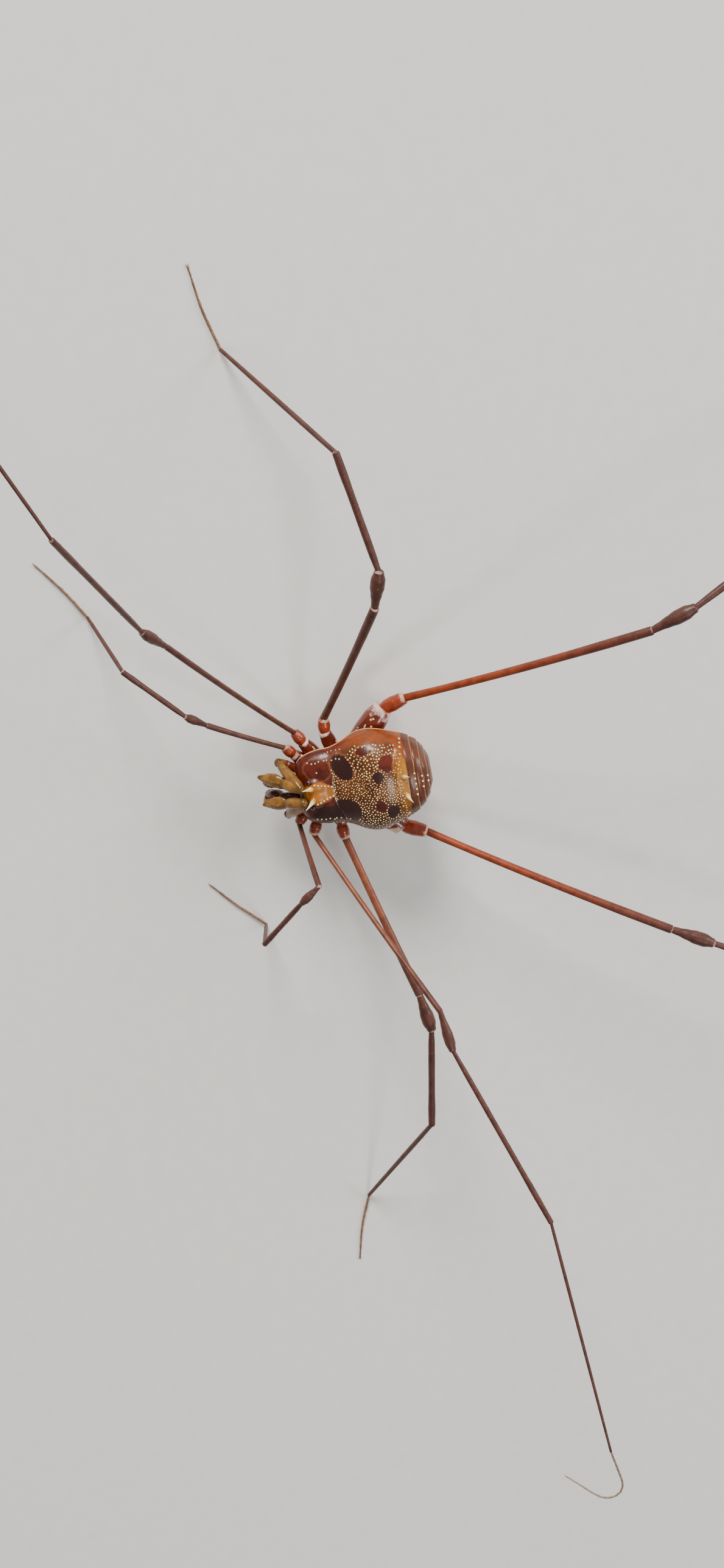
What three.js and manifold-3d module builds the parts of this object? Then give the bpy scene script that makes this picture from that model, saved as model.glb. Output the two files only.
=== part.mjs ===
// Harvestman, life size, standing on its first, third and fourth legs.
// Millimetres, +Z up. The animal faces -Y and its left side is +X.
// The body is laid out round the level of the trochanters (z = 0 there),
// and the whole group is moved at the end so that the feet rest on z = 0.

import * as THREE from 'three';
import { mergeVertices } from 'three/addons/utils/BufferGeometryUtils.js';
import Module from 'manifold-3d';

const wasm = await Module();
wasm.setup();

// Stance and fit
const STANCE_HEIGHT = 2.8;
const FLOOR = -STANCE_HEIGHT;
const JOINT_GAP = 0.12;
const EYE_GAP = 0.04;
const LEG_SIDES = 8;
const LEAST_STEP = 0.08;

// Body levels: the plane that parts the dorsal shield from the underside,
// and the cross plane that parts the shield from the free tergites
const SPLIT_LEVEL = 0.9;
const TERGITE_PLANE = 2.5;
const FRONT_PLANE = -4.06;

// Outline of the dorsal shield from front to rear: half width and height of the back
const SHIELD_OUTLINE = [
  { y: FRONT_PLANE, half: 1.5, top: 1.3 },
  { y: -3.75, half: 1.98, top: 1.66 },
  { y: -3.2, half: 2.25, top: 1.92 },
  { y: -2.5, half: 2.4, top: 2.06 },
  { y: -1.85, half: 2.42, top: 2.12 },
  { y: -1.1, half: 2.68, top: 2.52 },
  { y: -0.3, half: 3.08, top: 3.05 },
  { y: 0.4, half: 3.2, top: 3.34 },
  { y: 1.1, half: 3.08, top: 3.38 },
  { y: 1.9, half: 2.8, top: 3.26 },
  { y: 2.55, half: 2.52, top: 3.22 },
  { y: 3.0, half: 2.24, top: 3.06 },
  { y: 3.4, half: 1.88, top: 2.82 },
  { y: 3.75, half: 1.3, top: 2.42 },
  { y: 3.98, half: 0.62, top: 1.85 },
];
const SHIELD_ROUNDNESS = 2.5;
const SHIELD_RINGS = 18;
const SHIELD_ARC_STEPS = 18;

// Outline of the underside from front to rear: half width and lowest level
const BELLY_OUTLINE = [
  { y: FRONT_PLANE, half: 1.1, low: -0.3 },
  { y: -3.3, half: 1.6, low: -0.62 },
  { y: -2.3, half: 2.0, low: -0.8 },
  { y: -1.0, half: 2.4, low: -0.92 },
  { y: 0.3, half: 2.85, low: -1.0 },
  { y: 1.4, half: 2.7, low: -0.98 },
  { y: 2.5, half: 2.2, low: -0.72 },
  { y: 3.3, half: 1.6, low: -0.25 },
  { y: 3.85, half: 0.75, low: 0.35 },
];
const BELLY_ROUNDNESS = 2.2;
const BELLY_RINGS = 12;
const BELLY_ARC_STEPS = 12;
const OPERCULUM = { y: -0.55, level: -0.95, halfWidth: 0.5, halfLength: 0.42, height: 0.2 };

// Eye mound, a low saddle across the front of the shield, with two spines
const EYE_MOUND = { y: -3.0, level: 1.8, halfWidth: 0.98, halfLength: 0.78, height: 0.5 };
const SADDLE = { level: 2.62, radius: 0.42 };
const EYE = { x: 0.84, y: -3.36, z: 2.08, radius: 0.15 };
const MOUND_SPINE = {
  base: [0.34, -3.28, 2.0],
  lean: [0.27, -0.52, 0.72],
  length: 1.02,
  radius: 0.2,
};
const REAR_SPINE = {
  base: [0.57, 2.3, 3.1],
  lean: [0.3, 0.3, 0.9],
  length: 1.1,
  radius: 0.22,
};
const SPINE_TIP = 0.03;
const SPINE_ROOT = 0.25;
const SPINE_SIDES = 7;

// Free tergites: raised rear edges, with a row of small tubercles on each
const TERGITE_EDGES = [2.98, 3.4, 3.74];
const TERGITE_STEP = 0.07;
const TERGITE_TUBERCLES = [5, 3, 2];
const TUBERCLE = { radius: 0.1, spread: 0.34 };

// Legs: joint of coxa and trochanter (hip), joint of trochanter and femur (thigh),
// start of the coxa under the body (root), and the coxa's widest radius
const HIPS = {
  1: { root: [0.5, -2.75, -0.5], hip: [1.95, -3.98, 0.0], thigh: [2.5, -4.43, 0.1], coxa: 0.42 },
  2: { root: [0.5, -2.1, -0.55], hip: [2.62, -3.3, 0.02], thigh: [3.35, -3.68, 0.15], coxa: 0.46 },
  3: { root: [0.6, -1.35, -0.55], hip: [3.05, -1.92, 0.05], thigh: [3.95, -1.83, 0.15], coxa: 0.46 },
  4: { root: [1.3, -0.5, -0.35], hip: [3.85, 1.7, 0.05], thigh: [4.4, 3.1, 0.3], coxa: 0.8 },
};

// Lengths of the leg segments
const SEGMENTS = ['femur', 'patella', 'tibia', 'metatarsus', 'tarsus'];
const LENGTHS = {
  1: [5.5, 1.5, 4.6, 6.0, 4.3],
  2: [13.5, 2.5, 12.2, 16.2, 7.5],
  3: [10.7, 2.4, 7.1, 11.2, 4.9],
  4: [16.0, 2.75, 11.2, 17.0, 4.9],
};

// Diameters along a segment, from its start to its end
const GIRTHS = {
  trochanter: [0.6, 0.74, 0.56],
  femur: [0.5, 0.5, 0.5, 0.52, 0.54],
  tibia: [0.46, 0.5, 0.5, 0.46],
  metatarsus: [0.46, 0.5, 0.5, 0.42],
  tarsus: [0.4, 0.4, 0.36, 0.32, 0.24],
};
const GIRTH_SCALE = { 1: 1.0, 2: 1.0, 3: 1.04, 4: 1.12 };
const HIND_TROCHANTER_GIRTHS = [0.86, 1.0, 0.66];

// The patella swells towards its far end, most of all on the third and fourth legs
const PATELLA_GIRTHS = {
  1: [0.46, 0.54, 0.5],
  2: [0.46, 0.64, 0.56],
  3: [0.5, 0.84, 0.7],
  4: [0.54, 0.84, 0.7],
};
const FEMUR_BOW = 0.018;

// Pose of each leg: sweep is the heading seen from above, in degrees forward of straight
// out to the side, and rise is the climb in degrees. A foot that stands is level and its
// metatarsus slopes down to it. Turn is how far the tarsus curls round to the front.
const POSES = {
  leg_1_right: { sweep: [54, 50, 41, 45, 30], rise: [21, 17, 3], turn: 6 },
  leg_1_left: { sweep: [-17, 52, 41, 0, 135], rise: [67, -4, -24], turn: 6 },
  leg_2_right: { sweep: [32, 32, 18, 20, 12], rise: [35, 41, 44, 12, -18], turn: 15 },
  leg_2_left: { sweep: [-32, -8, -20, -5, -10], rise: [38, 14, 14, 7, -4], turn: 146 },
  leg_3_right: { sweep: [-26, -14, 10, 48, 15], rise: [32, 15, -4], turn: -8 },
  leg_3_left: { sweep: [-16, -9, 8, 31, 20], rise: [18, 8, -4], turn: -8 },
  leg_4_right: { sweep: [-75, -67, -63, -58, -50], rise: [23, 10, -6], turn: 8 },
  leg_4_left: { sweep: [-61, -61, -58, -54, -46], rise: [14, 4, -4], turn: 8 },
};

// Claws at the end of each tarsus
const CLAW = { length: 0.42, radius: 0.075, splay: 16, sides: 5 };
const CLAW_COUNT = { 1: 1, 2: 1, 3: 2, 4: 2 };

// Mouthparts, left side
const CHELICERA = {
  base: [0.47, FRONT_PLANE - JOINT_GAP, 0.84],
  elbow: [0.52, -5.1, 0.62],
  baseRadii: [0.33, 0.37, 0.36],
  hand: [0.52, -5.55, 0.02],
  handHalf: [0.41, 0.6, 0.62],
  fingerRoot: [0.52, -5.78, -0.42],
  fingerLength: 0.72,
  fingerRadius: 0.16,
};
const PEDIPALP = {
  coxaRoot: [0.6, -3.5, -0.1],
  hip: [1.5, -4.6, 0.14],
  thigh: [1.74, -5.0, 0.36],
  knee: [0.44, -3.88, 2.28],
  shin: [0.66, -4.86, 1.56],
  wrist: [0.9, -6.22, 0.82],
  tip: [0.68, -6.38, -0.22],
};
const PALP_COXA_RADIUS = 0.26;
const BLOCK_SIZE = 12;

// Both pedipalps are swung a little to the animal's right
const PALP_SWING = { knee: -0.1, shin: -0.18, wrist: -0.28, tip: -0.3 };

// Finishes, one for each kind of part
const FINISHES = {
  shield: { color: 0xa8581f, roughness: 0.42, metalness: 0 },
  tergites: { color: 0x7a4a20, roughness: 0.45, metalness: 0 },
  underside: { color: 0x9a3f22, roughness: 0.5, metalness: 0 },
  eye: { color: 0x0c0a0a, roughness: 0.08, metalness: 0 },
  chelicera: { color: 0x4a2418, roughness: 0.25, metalness: 0 },
  pedipalp: { color: 0xa07c40, roughness: 0.22, metalness: 0 },
  trochanter: { color: 0xb8441c, roughness: 0.4, metalness: 0 },
  legNear: { color: 0x9c4a28, roughness: 0.5, metalness: 0 },
  legFar: { color: 0x6e4034, roughness: 0.55, metalness: 0 },
  tarsus: { color: 0x8a6a52, roughness: 0.6, metalness: 0 },
};

const UP = new THREE.Vector3(0, 0, 1);
const radians = THREE.MathUtils.degToRad;
const vector = (values) => new THREE.Vector3(...values);

// A closed skin over rings of equal count, with a flat fan over each end ring
function loft(rings) {
  const count = rings[0].length;
  const positions = [];
  const triangles = [];
  for (const ring of rings) {
    for (const point of ring) {
      positions.push(point.x, point.y, point.z);
    }
  }
  for (let row = 0; row < rings.length - 1; row += 1) {
    for (let column = 0; column < count; column += 1) {
      const next = (column + 1) % count;
      const a = row * count + column;
      const b = row * count + next;
      const c = a + count;
      const d = b + count;
      triangles.push(a, b, d, a, d, c);
    }
  }
  for (const [row, forward] of [[0, false], [rings.length - 1, true]]) {
    const centre = rings[row]
      .reduce((sum, point) => sum.add(point), new THREE.Vector3())
      .divideScalar(count);
    const hub = positions.length / 3;
    positions.push(centre.x, centre.y, centre.z);
    for (let column = 0; column < count; column += 1) {
      const a = row * count + column;
      const b = row * count + ((column + 1) % count);
      triangles.push(...(forward ? [a, b, hub] : [b, a, hub]));
    }
  }
  const geometry = new THREE.BufferGeometry();
  geometry.setAttribute('position', new THREE.Float32BufferAttribute(positions, 3));
  geometry.setIndex(triangles);
  return signedVolume(geometry) < 0 ? turnedInsideOut(geometry) : geometry;
}

function signedVolume(geometry) {
  const place = geometry.attributes.position;
  const index = geometry.index.array;
  const corners = [new THREE.Vector3(), new THREE.Vector3(), new THREE.Vector3()];
  let total = 0;
  for (let start = 0; start < index.length; start += 3) {
    corners.forEach((corner, offset) => corner.fromBufferAttribute(place, index[start + offset]));
    total += corners[0].dot(corners[1].clone().cross(corners[2])) / 6;
  }
  return total;
}

function turnedInsideOut(geometry) {
  const index = Array.from(geometry.index.array);
  for (let start = 0; start < index.length; start += 3) {
    [index[start + 1], index[start + 2]] = [index[start + 2], index[start + 1]];
  }
  geometry.setIndex(index);
  return geometry;
}

// The same shape on the animal's other side
function mirrored(geometry) {
  return turnedInsideOut(geometry.clone().scale(-1, 1, 1));
}

// Boolean work
function toSolid(geometry) {
  const bare = geometry.clone();
  bare.deleteAttribute('normal');
  bare.deleteAttribute('uv');
  const merged = mergeVertices(bare);
  return new wasm.Manifold(new wasm.Mesh({
    numProp: 3,
    vertProperties: Float32Array.from(merged.attributes.position.array),
    triVerts: Uint32Array.from(merged.index.array),
  }));
}

function toGeometry(solid) {
  const pieces = solid.decompose();
  const largest = pieces.reduce((best, piece) => (piece.volume() > best.volume() ? piece : best));
  const mesh = largest.getMesh();
  const geometry = new THREE.BufferGeometry();
  geometry.setAttribute('position', new THREE.Float32BufferAttribute(mesh.vertProperties, 3));
  geometry.setIndex(Array.from(mesh.triVerts));
  return geometry;
}

function fused(geometries, cutters = []) {
  let solid = toSolid(geometries[0]);
  for (const geometry of geometries.slice(1)) {
    solid = solid.add(toSolid(geometry));
  }
  for (const cutter of cutters) {
    solid = solid.subtract(toSolid(cutter));
  }
  return toGeometry(solid);
}

// A smooth line through named stations, read by distance along Y
function outlineReader(stations, keys) {
  const curve = new THREE.CatmullRomCurve3(
    stations.map((station) => new THREE.Vector3(station.y, station[keys[0]], station[keys[1]])),
    false,
    'catmullrom',
    0.5,
  );
  return (share) => {
    const point = curve.getPoint(share);
    return { y: point.x, [keys[0]]: point.y, [keys[1]]: point.z };
  };
}

// Half a rounded box section, from the right margin over the arc to the left margin
function archRing(y, half, base, peak, steps, roundness) {
  const ring = [];
  for (let step = 0; step <= steps; step += 1) {
    const angle = (Math.PI * step) / steps;
    const across = Math.sign(Math.cos(angle)) * Math.abs(Math.cos(angle)) ** (2 / roundness);
    const along = Math.abs(Math.sin(angle)) ** (2 / roundness);
    ring.push(new THREE.Vector3(half * across, y, base + (peak - base) * along));
  }
  return ring;
}

function ellipsoid(centre, half, widthSegments = 12, heightSegments = 8) {
  const geometry = new THREE.SphereGeometry(1, widthSegments, heightSegments);
  geometry.scale(...half);
  geometry.translate(...centre);
  return geometry;
}

// Rings of a limb along a path, cut at each end by the plane of its joint
function limb(path, girths, steps, options = {}) {
  const { flatness = 1, startPlane, endPlane, sides = LEG_SIDES, up = UP } = options;
  const length = path.getLength();
  const radiusAt = (share) => {
    const place = share * (girths.length - 1);
    const low = Math.min(Math.floor(place), girths.length - 2);
    return THREE.MathUtils.lerp(girths[low], girths[low + 1], place - low) / 2;
  };
  const clearOf = (plane, share) => {
    if (!plane) {
      return 0;
    }
    const slope = Math.abs(path.getTangentAt(share).dot(plane.normal));
    const tilt = Math.sqrt(Math.max(0, 1 - slope * slope)) / slope;
    return (radiusAt(share) * tilt + LEAST_STEP) / length;
  };
  const first = clearOf(startPlane, 0) || 1 / (steps + 1);
  const last = 1 - (clearOf(endPlane, 1) || 1 / (steps + 1));
  const shares = [0];
  for (let step = 0; step < steps; step += 1) {
    shares.push(THREE.MathUtils.lerp(first, last, step / (steps - 1)));
  }
  shares.push(1);
  const rings = shares.map((share) => {
    const centre = path.getPointAt(share);
    const tangent = path.getTangentAt(share);
    const side = new THREE.Vector3().crossVectors(tangent, up).normalize();
    const over = new THREE.Vector3().crossVectors(side, tangent);
    const ring = [];
    for (let corner = 0; corner < sides; corner += 1) {
      const angle = (2 * Math.PI * (corner + 0.5)) / sides;
      ring.push(centre.clone()
        .addScaledVector(side, radiusAt(share) * Math.cos(angle))
        .addScaledVector(over, radiusAt(share) * flatness * Math.sin(angle)));
    }
    const plane = (share === 0 && startPlane) || (share === 1 && endPlane);
    return plane ? ring.map((point) => slidTo(plane, point, tangent)) : ring;
  });
  return loft(rings);
}

function slidTo(plane, point, direction) {
  const distance = plane.point.clone().sub(point).dot(plane.normal) / direction.dot(plane.normal);
  return point.clone().addScaledVector(direction, distance);
}

// The two facing planes of a joint, half the gap to either side of it
function jointPlanes(point, before, after) {
  const normal = before.clone().add(after).normalize();
  return {
    end: { point: point.clone().addScaledVector(normal, -JOINT_GAP / 2), normal },
    start: { point: point.clone().addScaledVector(normal, JOINT_GAP / 2), normal },
  };
}

function straight(from, to) {
  return new THREE.LineCurve3(from, to);
}

function between(from, to) {
  return to.clone().sub(from).normalize();
}

// A slightly hooked spine that tapers to its tip, with its root sunk in
function spine({ base, lean, length, radius }) {
  const direction = vector(lean).normalize();
  const root = vector(base).addScaledVector(direction, -SPINE_ROOT);
  const tip = vector(base).addScaledVector(direction, length);
  const middle = root.clone().lerp(tip, 0.5);
  middle.z -= 0.05 * length;
  const path = new THREE.QuadraticBezierCurve3(root, middle, tip);
  return limb(path, [2 * radius, 1.2 * radius, 2 * SPINE_TIP], 2, { sides: SPINE_SIDES });
}

function tubercle(centre) {
  return ellipsoid(centre, [TUBERCLE.radius, TUBERCLE.radius, TUBERCLE.radius], 6, 4);
}

// Dorsal shield, eye mound and free tergites
const shieldAt = outlineReader(SHIELD_OUTLINE, ['half', 'top']);

function shareAtY(reader, y) {
  let low = 0;
  let high = 1;
  for (let step = 0; step < 30; step += 1) {
    const middle = (low + high) / 2;
    if (reader(middle).y < y) {
      low = middle;
    } else {
      high = middle;
    }
  }
  return low;
}

function shieldRing(y, grow = 0) {
  const { half, top } = shieldAt(shareAtY(shieldAt, y));
  return archRing(y, half + grow, SPLIT_LEVEL, top + grow, SHIELD_ARC_STEPS, SHIELD_ROUNDNESS);
}

function shieldSolid() {
  const rings = [];
  for (let step = 0; step <= SHIELD_RINGS; step += 1) {
    rings.push(shieldRing(THREE.MathUtils.lerp(FRONT_PLANE, TERGITE_PLANE, step / SHIELD_RINGS)));
  }
  const mound = ellipsoid(
    [0, EYE_MOUND.y, EYE_MOUND.level],
    [EYE_MOUND.halfWidth, EYE_MOUND.halfLength, EYE_MOUND.height],
    16,
    10,
  );
  const saddle = new THREE.CylinderGeometry(SADDLE.radius, SADDLE.radius, 2, 16);
  saddle.translate(0, EYE_MOUND.y, SADDLE.level);
  const sockets = [1, -1].map((side) => (
    ellipsoid([side * EYE.x, EYE.y, EYE.z], Array(3).fill(EYE.radius + EYE_GAP), 12, 8)
  ));
  const back = fused([loft(rings), mound], [saddle, ...sockets]);
  const spines = [MOUND_SPINE, REAR_SPINE].flatMap((size) => {
    const left = spine(size);
    return [left, mirrored(left)];
  });
  return fused([back, ...spines]);
}

function tergitesSolid() {
  const start = TERGITE_PLANE + JOINT_GAP;
  const end = SHIELD_OUTLINE[SHIELD_OUTLINE.length - 1].y;
  const rings = [shieldRing(start, -TERGITE_STEP)];
  for (const edge of TERGITE_EDGES) {
    rings.push(shieldRing(edge - TERGITE_STEP, 0));
    rings.push(shieldRing(edge, 0));
    rings.push(shieldRing(edge + TERGITE_STEP / 2, -TERGITE_STEP));
  }
  rings.push(shieldRing(end, -TERGITE_STEP));
  const tubercles = [];
  TERGITE_EDGES.forEach((edge, row) => {
    const count = TERGITE_TUBERCLES[row];
    const { top } = shieldAt(shareAtY(shieldAt, edge));
    for (let place = 0; place < count; place += 1) {
      const x = (place - (count - 1) / 2) * TUBERCLE.spread;
      tubercles.push(tubercle([x, edge - TERGITE_STEP, top]));
    }
  });
  return fused([loft(rings), ...tubercles]);
}

// Underside: belly, coxae of the legs and pedipalps, and genital plate
const bellyAt = outlineReader(BELLY_OUTLINE, ['half', 'low']);

function undersideSolid() {
  const top = SPLIT_LEVEL - JOINT_GAP;
  const rings = [];
  for (let step = 0; step <= BELLY_RINGS; step += 1) {
    const { y, half, low } = bellyAt(step / BELLY_RINGS);
    rings.push(archRing(y, half, top, low, BELLY_ARC_STEPS, BELLY_ROUNDNESS));
  }
  const pieces = [loft(rings)];
  for (const side of [1, -1]) {
    for (const number of [1, 2, 3, 4]) {
      pieces.push(coxaSolid(number, side));
    }
    const [root, hip, thigh] = ['coxaRoot', 'hip', 'thigh'].map((key) => palpPlace(key, side));
    const planes = jointPlanes(hip, between(root, hip), between(hip, thigh));
    const girth = 2 * PALP_COXA_RADIUS;
    pieces.push(limb(straight(root, hip), [girth, girth * 1.1, girth], 2, { endPlane: planes.end }));
  }
  pieces.push(ellipsoid(
    [0, OPERCULUM.y, OPERCULUM.level],
    [OPERCULUM.halfWidth, OPERCULUM.halfLength, OPERCULUM.height],
    12,
    6,
  ));
  const above = new THREE.BoxGeometry(12, 12, 2);
  above.translate(0, 0, top + 1);
  return fused(pieces, [above]);
}

function onSide(place, side) {
  return new THREE.Vector3(side * place[0], place[1], place[2]);
}

function palpPlace(key, side) {
  const place = onSide(PEDIPALP[key], side);
  place.x += PALP_SWING[key] ?? 0;
  return place;
}

function hipPlanes(number, side) {
  const { root, hip, thigh } = HIPS[number];
  const [from, joint, to] = [root, hip, thigh].map((place) => onSide(place, side));
  return jointPlanes(joint, between(from, joint), between(joint, to));
}

function coxaSolid(number, side) {
  const { root, hip, coxa } = HIPS[number];
  const girths = [1.6 * coxa, 2 * coxa, 2 * coxa, trochanterGirths(number)[0] * 1.15];
  return limb(straight(onSide(root, side), onSide(hip, side)), girths, 4, {
    endPlane: hipPlanes(number, side).end,
    sides: 10,
  });
}

// Legs
function trochanterGirths(number) {
  return number === 4 ? HIND_TROCHANTER_GIRTHS : GIRTHS.trochanter;
}

function segmentGirths(segment, number) {
  if (segment === 'patella') {
    return PATELLA_GIRTHS[number];
  }
  const scale = segment === 'tarsus' ? 1 : GIRTH_SCALE[number];
  return GIRTHS[segment].map((girth) => girth * scale);
}

function heading(side, sweep, rise) {
  const flat = Math.cos(radians(rise));
  return new THREE.Vector3(
    side * flat * Math.cos(radians(sweep)),
    -flat * Math.sin(radians(sweep)),
    Math.sin(radians(rise)),
  );
}

// Height of a standing foot's middle line, so that its lowest facet lies on the floor
function footHeight(girth) {
  return FLOOR + (girth / 2) * Math.cos(Math.PI / LEG_SIDES);
}

// Joints of one leg, from the hip to the end of the metatarsus
function legJoints(name, number, side) {
  const { sweep, rise } = POSES[name];
  const lengths = LENGTHS[number];
  const points = [onSide(HIPS[number].hip, side), onSide(HIPS[number].thigh, side)];
  const stands = rise.length === 3;
  for (let part = 0; part < 4; part += 1) {
    const from = points[points.length - 1];
    let climb = rise[part];
    if (stands && part === 3) {
      const drop = footHeight(GIRTHS.tarsus[0]) - from.z;
      climb = THREE.MathUtils.radToDeg(Math.asin(drop / lengths[part]));
    }
    points.push(from.clone().addScaledVector(heading(side, sweep[part], climb), lengths[part]));
  }
  return points;
}

// The tarsus runs on from the metatarsus and curls to the front in its middle half
function tarsusPath(name, number, side, start) {
  const { sweep, rise, turn } = POSES[name];
  const stands = rise.length === 3;
  const length = LENGTHS[number][4];
  const steps = 14;
  const points = [start.clone()];
  for (let step = 1; step <= steps; step += 1) {
    const share = (step - 0.5) / steps;
    const curl = THREE.MathUtils.smoothstep(share, 0.3, 0.75);
    const climb = stands ? 0 : rise[4];
    const direction = heading(side, sweep[4] + turn * curl, climb);
    points.push(points[step - 1].clone().addScaledVector(direction, length / steps));
  }
  if (stands) {
    points.forEach((point, step) => {
      const girth = THREE.MathUtils.lerp(GIRTHS.tarsus[0], GIRTHS.tarsus[4], step / steps);
      point.z = footHeight(girth);
    });
  }
  return new THREE.CatmullRomCurve3(points);
}

function clawsAt(path, number) {
  const tip = path.getPointAt(1);
  const forward = path.getTangentAt(1);
  const count = CLAW_COUNT[number];
  const claws = [];
  for (let claw = 0; claw < count; claw += 1) {
    const splay = radians(CLAW.splay * (2 * claw - (count - 1)));
    const direction = forward.clone().applyAxisAngle(UP, splay);
    const root = tip.clone().addScaledVector(direction, -CLAW.radius * 2);
    const end = tip.clone().addScaledVector(direction, CLAW.length);
    end.z -= CLAW.radius;
    const middle = root.clone().lerp(end, 0.6);
    middle.z += CLAW.radius / 2;
    const curve = new THREE.QuadraticBezierCurve3(root, middle, end);
    claws.push(limb(curve, [2 * CLAW.radius, 1.6 * CLAW.radius, 0.04], 2, { sides: CLAW.sides }));
  }
  return claws;
}

// Whatever would pass below the floor is pressed flat onto it
function setOnFloor(geometry) {
  const place = geometry.attributes.position;
  for (let index = 0; index < place.count; index += 1) {
    place.setZ(index, Math.max(place.getZ(index), FLOOR));
  }
  return geometry;
}

function legMeshes(name, number, side) {
  const joints = legJoints(name, number, side);
  const tarsus = tarsusPath(name, number, side, joints[5]);
  const headings = joints.slice(1).map((point, index) => between(joints[index], point));
  headings.push(tarsus.getTangentAt(0));
  const planes = joints.map((point, index) => (
    index === 0
      ? hipPlanes(number, side)
      : jointPlanes(point, headings[index - 1], headings[index])
  ));
  const meshes = [];
  const trochanter = limb(straight(joints[0], joints[1]), trochanterGirths(number), 3, {
    startPlane: planes[0].start,
    endPlane: planes[1].end,
  });
  meshes.push(piece(`${name}_trochanter`, trochanter, FINISHES.trochanter));
  SEGMENTS.forEach((segment, part) => {
    const [from, to] = [joints[part + 1], joints[part + 2]];
    const girths = segmentGirths(segment, number);
    if (segment === 'tarsus') {
      const foot = limb(tarsus, girths, 9, { startPlane: planes[5].start });
      meshes.push(piece(`${name}_tarsus`, setOnFloor(fused([foot, ...clawsAt(tarsus, number)])),
        FINISHES.tarsus));
      return;
    }
    const middle = from.clone().lerp(to, 0.5);
    if (segment === 'femur') {
      middle.z += FEMUR_BOW * LENGTHS[number][0];
    }
    const path = new THREE.QuadraticBezierCurve3(from, middle, to);
    const geometry = limb(path, girths, girths.length, {
      startPlane: planes[part + 1].start,
      endPlane: planes[part + 2].end,
    });
    const finish = part < 2 ? FINISHES.legNear : FINISHES.legFar;
    meshes.push(piece(`${name}_${segment}`, setOnFloor(geometry), finish));
  });
  return meshes;
}

// Mouthparts
function cheliceraSolid() {
  const size = CHELICERA;
  const base = vector(size.base);
  const front = { point: base, normal: new THREE.Vector3(0, -1, 0) };
  const arm = limb(straight(base, vector(size.elbow)), size.baseRadii.map((radius) => 2 * radius), 3, {
    startPlane: front,
  });
  const elbow = ellipsoid(size.elbow, Array(3).fill(size.baseRadii[2]), 10, 6);
  const hand = ellipsoid(size.hand, size.handHalf, 12, 9);
  const fingers = [-1, 1].map((way) => {
    const root = vector(size.fingerRoot);
    root.y += way * size.fingerRadius * 1.2;
    const tip = vector(size.fingerRoot);
    tip.z -= size.fingerLength;
    tip.y += way * size.fingerRadius * 0.3;
    const middle = root.clone().lerp(tip, 0.5);
    middle.y += way * size.fingerRadius;
    const path = new THREE.QuadraticBezierCurve3(root, middle, tip);
    return limb(path, [2 * size.fingerRadius, 1.7 * size.fingerRadius, 0.05], 2, {
      sides: 6,
      up: new THREE.Vector3(1, 0, 0),
    });
  });
  return fused([arm, elbow, hand, ...fingers]);
}

// A block that fills the space before or after a joint's plane
function blockBeyond(plane, outward) {
  const block = new THREE.BoxGeometry(BLOCK_SIZE, BLOCK_SIZE, BLOCK_SIZE);
  block.translate(0, 0, BLOCK_SIZE / 2);
  block.applyQuaternion(new THREE.Quaternion().setFromUnitVectors(UP, outward));
  return block.translate(plane.point.x, plane.point.y, plane.point.z);
}

// Trochanter and flattened femur of a pedipalp, rising to the sharply folded knee
function pedipalpFemurSolid(side) {
  const [root, hip, thigh, knee, shin] = ['coxaRoot', 'hip', 'thigh', 'knee', 'shin']
    .map((key) => palpPlace(key, side));
  const start = jointPlanes(hip, between(root, hip), between(hip, thigh)).start;
  const end = jointPlanes(knee, between(thigh, knee), between(knee, shin)).end;
  const trochanter = limb(straight(hip, thigh), [0.5, 0.56, 0.5], 2, { startPlane: start });
  const joint = ellipsoid(thigh.toArray(), [0.26, 0.26, 0.26], 8, 6);
  const femur = limb(straight(thigh, knee), [0.42, 0.62, 0.72, 0.62], 4, {
    flatness: 0.82,
    up: new THREE.Vector3(0, -1, 0),
  });
  const cap = ellipsoid(knee.toArray(), [0.3, 0.28, 0.28], 8, 6);
  return fused([trochanter, joint, femur, cap], [blockBeyond(end, end.normal)]);
}

// Patella, spoon-like tibia and folded tarsus of a pedipalp
function pedipalpTibiaSolid(side) {
  const [thigh, knee, shin, wrist, tip] = ['thigh', 'knee', 'shin', 'wrist', 'tip']
    .map((key) => palpPlace(key, side));
  const start = jointPlanes(knee, between(thigh, knee), between(knee, shin)).start;
  const cap = ellipsoid(knee.toArray(), [0.28, 0.28, 0.28], 8, 6);
  const patella = limb(straight(knee, shin), [0.56, 0.68, 0.68], 3);
  const joint = ellipsoid(shin.toArray(), [0.33, 0.3, 0.22], 8, 6);
  const tibia = limb(straight(shin, wrist), [0.6, 0.88, 0.8, 0.42], 4, { flatness: 0.38 });
  const middle = wrist.clone().lerp(tip, 0.5);
  middle.y -= 0.14;
  const fold = new THREE.QuadraticBezierCurve3(wrist.clone().lerp(shin, 0.06), middle, tip);
  const tarsus = limb(fold, [0.24, 0.22, 0.06], 3, { sides: 6, up: new THREE.Vector3(0, -1, 0) });
  const cutter = blockBeyond(start, start.normal.clone().negate());
  return fused([cap, patella, joint, tibia, tarsus], [cutter]);
}

// Named meshes in one group
function piece(name, geometry, finish) {
  geometry.computeBoundingBox();
  const centre = geometry.boundingBox.getCenter(new THREE.Vector3());
  const local = geometry.clone().translate(-centre.x, -centre.y, -centre.z);
  const mesh = new THREE.Mesh(local, new THREE.MeshStandardMaterial(finish));
  mesh.name = name;
  mesh.position.copy(centre);
  return mesh;
}

const animal = new THREE.Group();
animal.add(piece('dorsal_shield', shieldSolid(), FINISHES.shield));
animal.add(piece('free_tergites', tergitesSolid(), FINISHES.tergites));
animal.add(piece('underside', undersideSolid(), FINISHES.underside));

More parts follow.
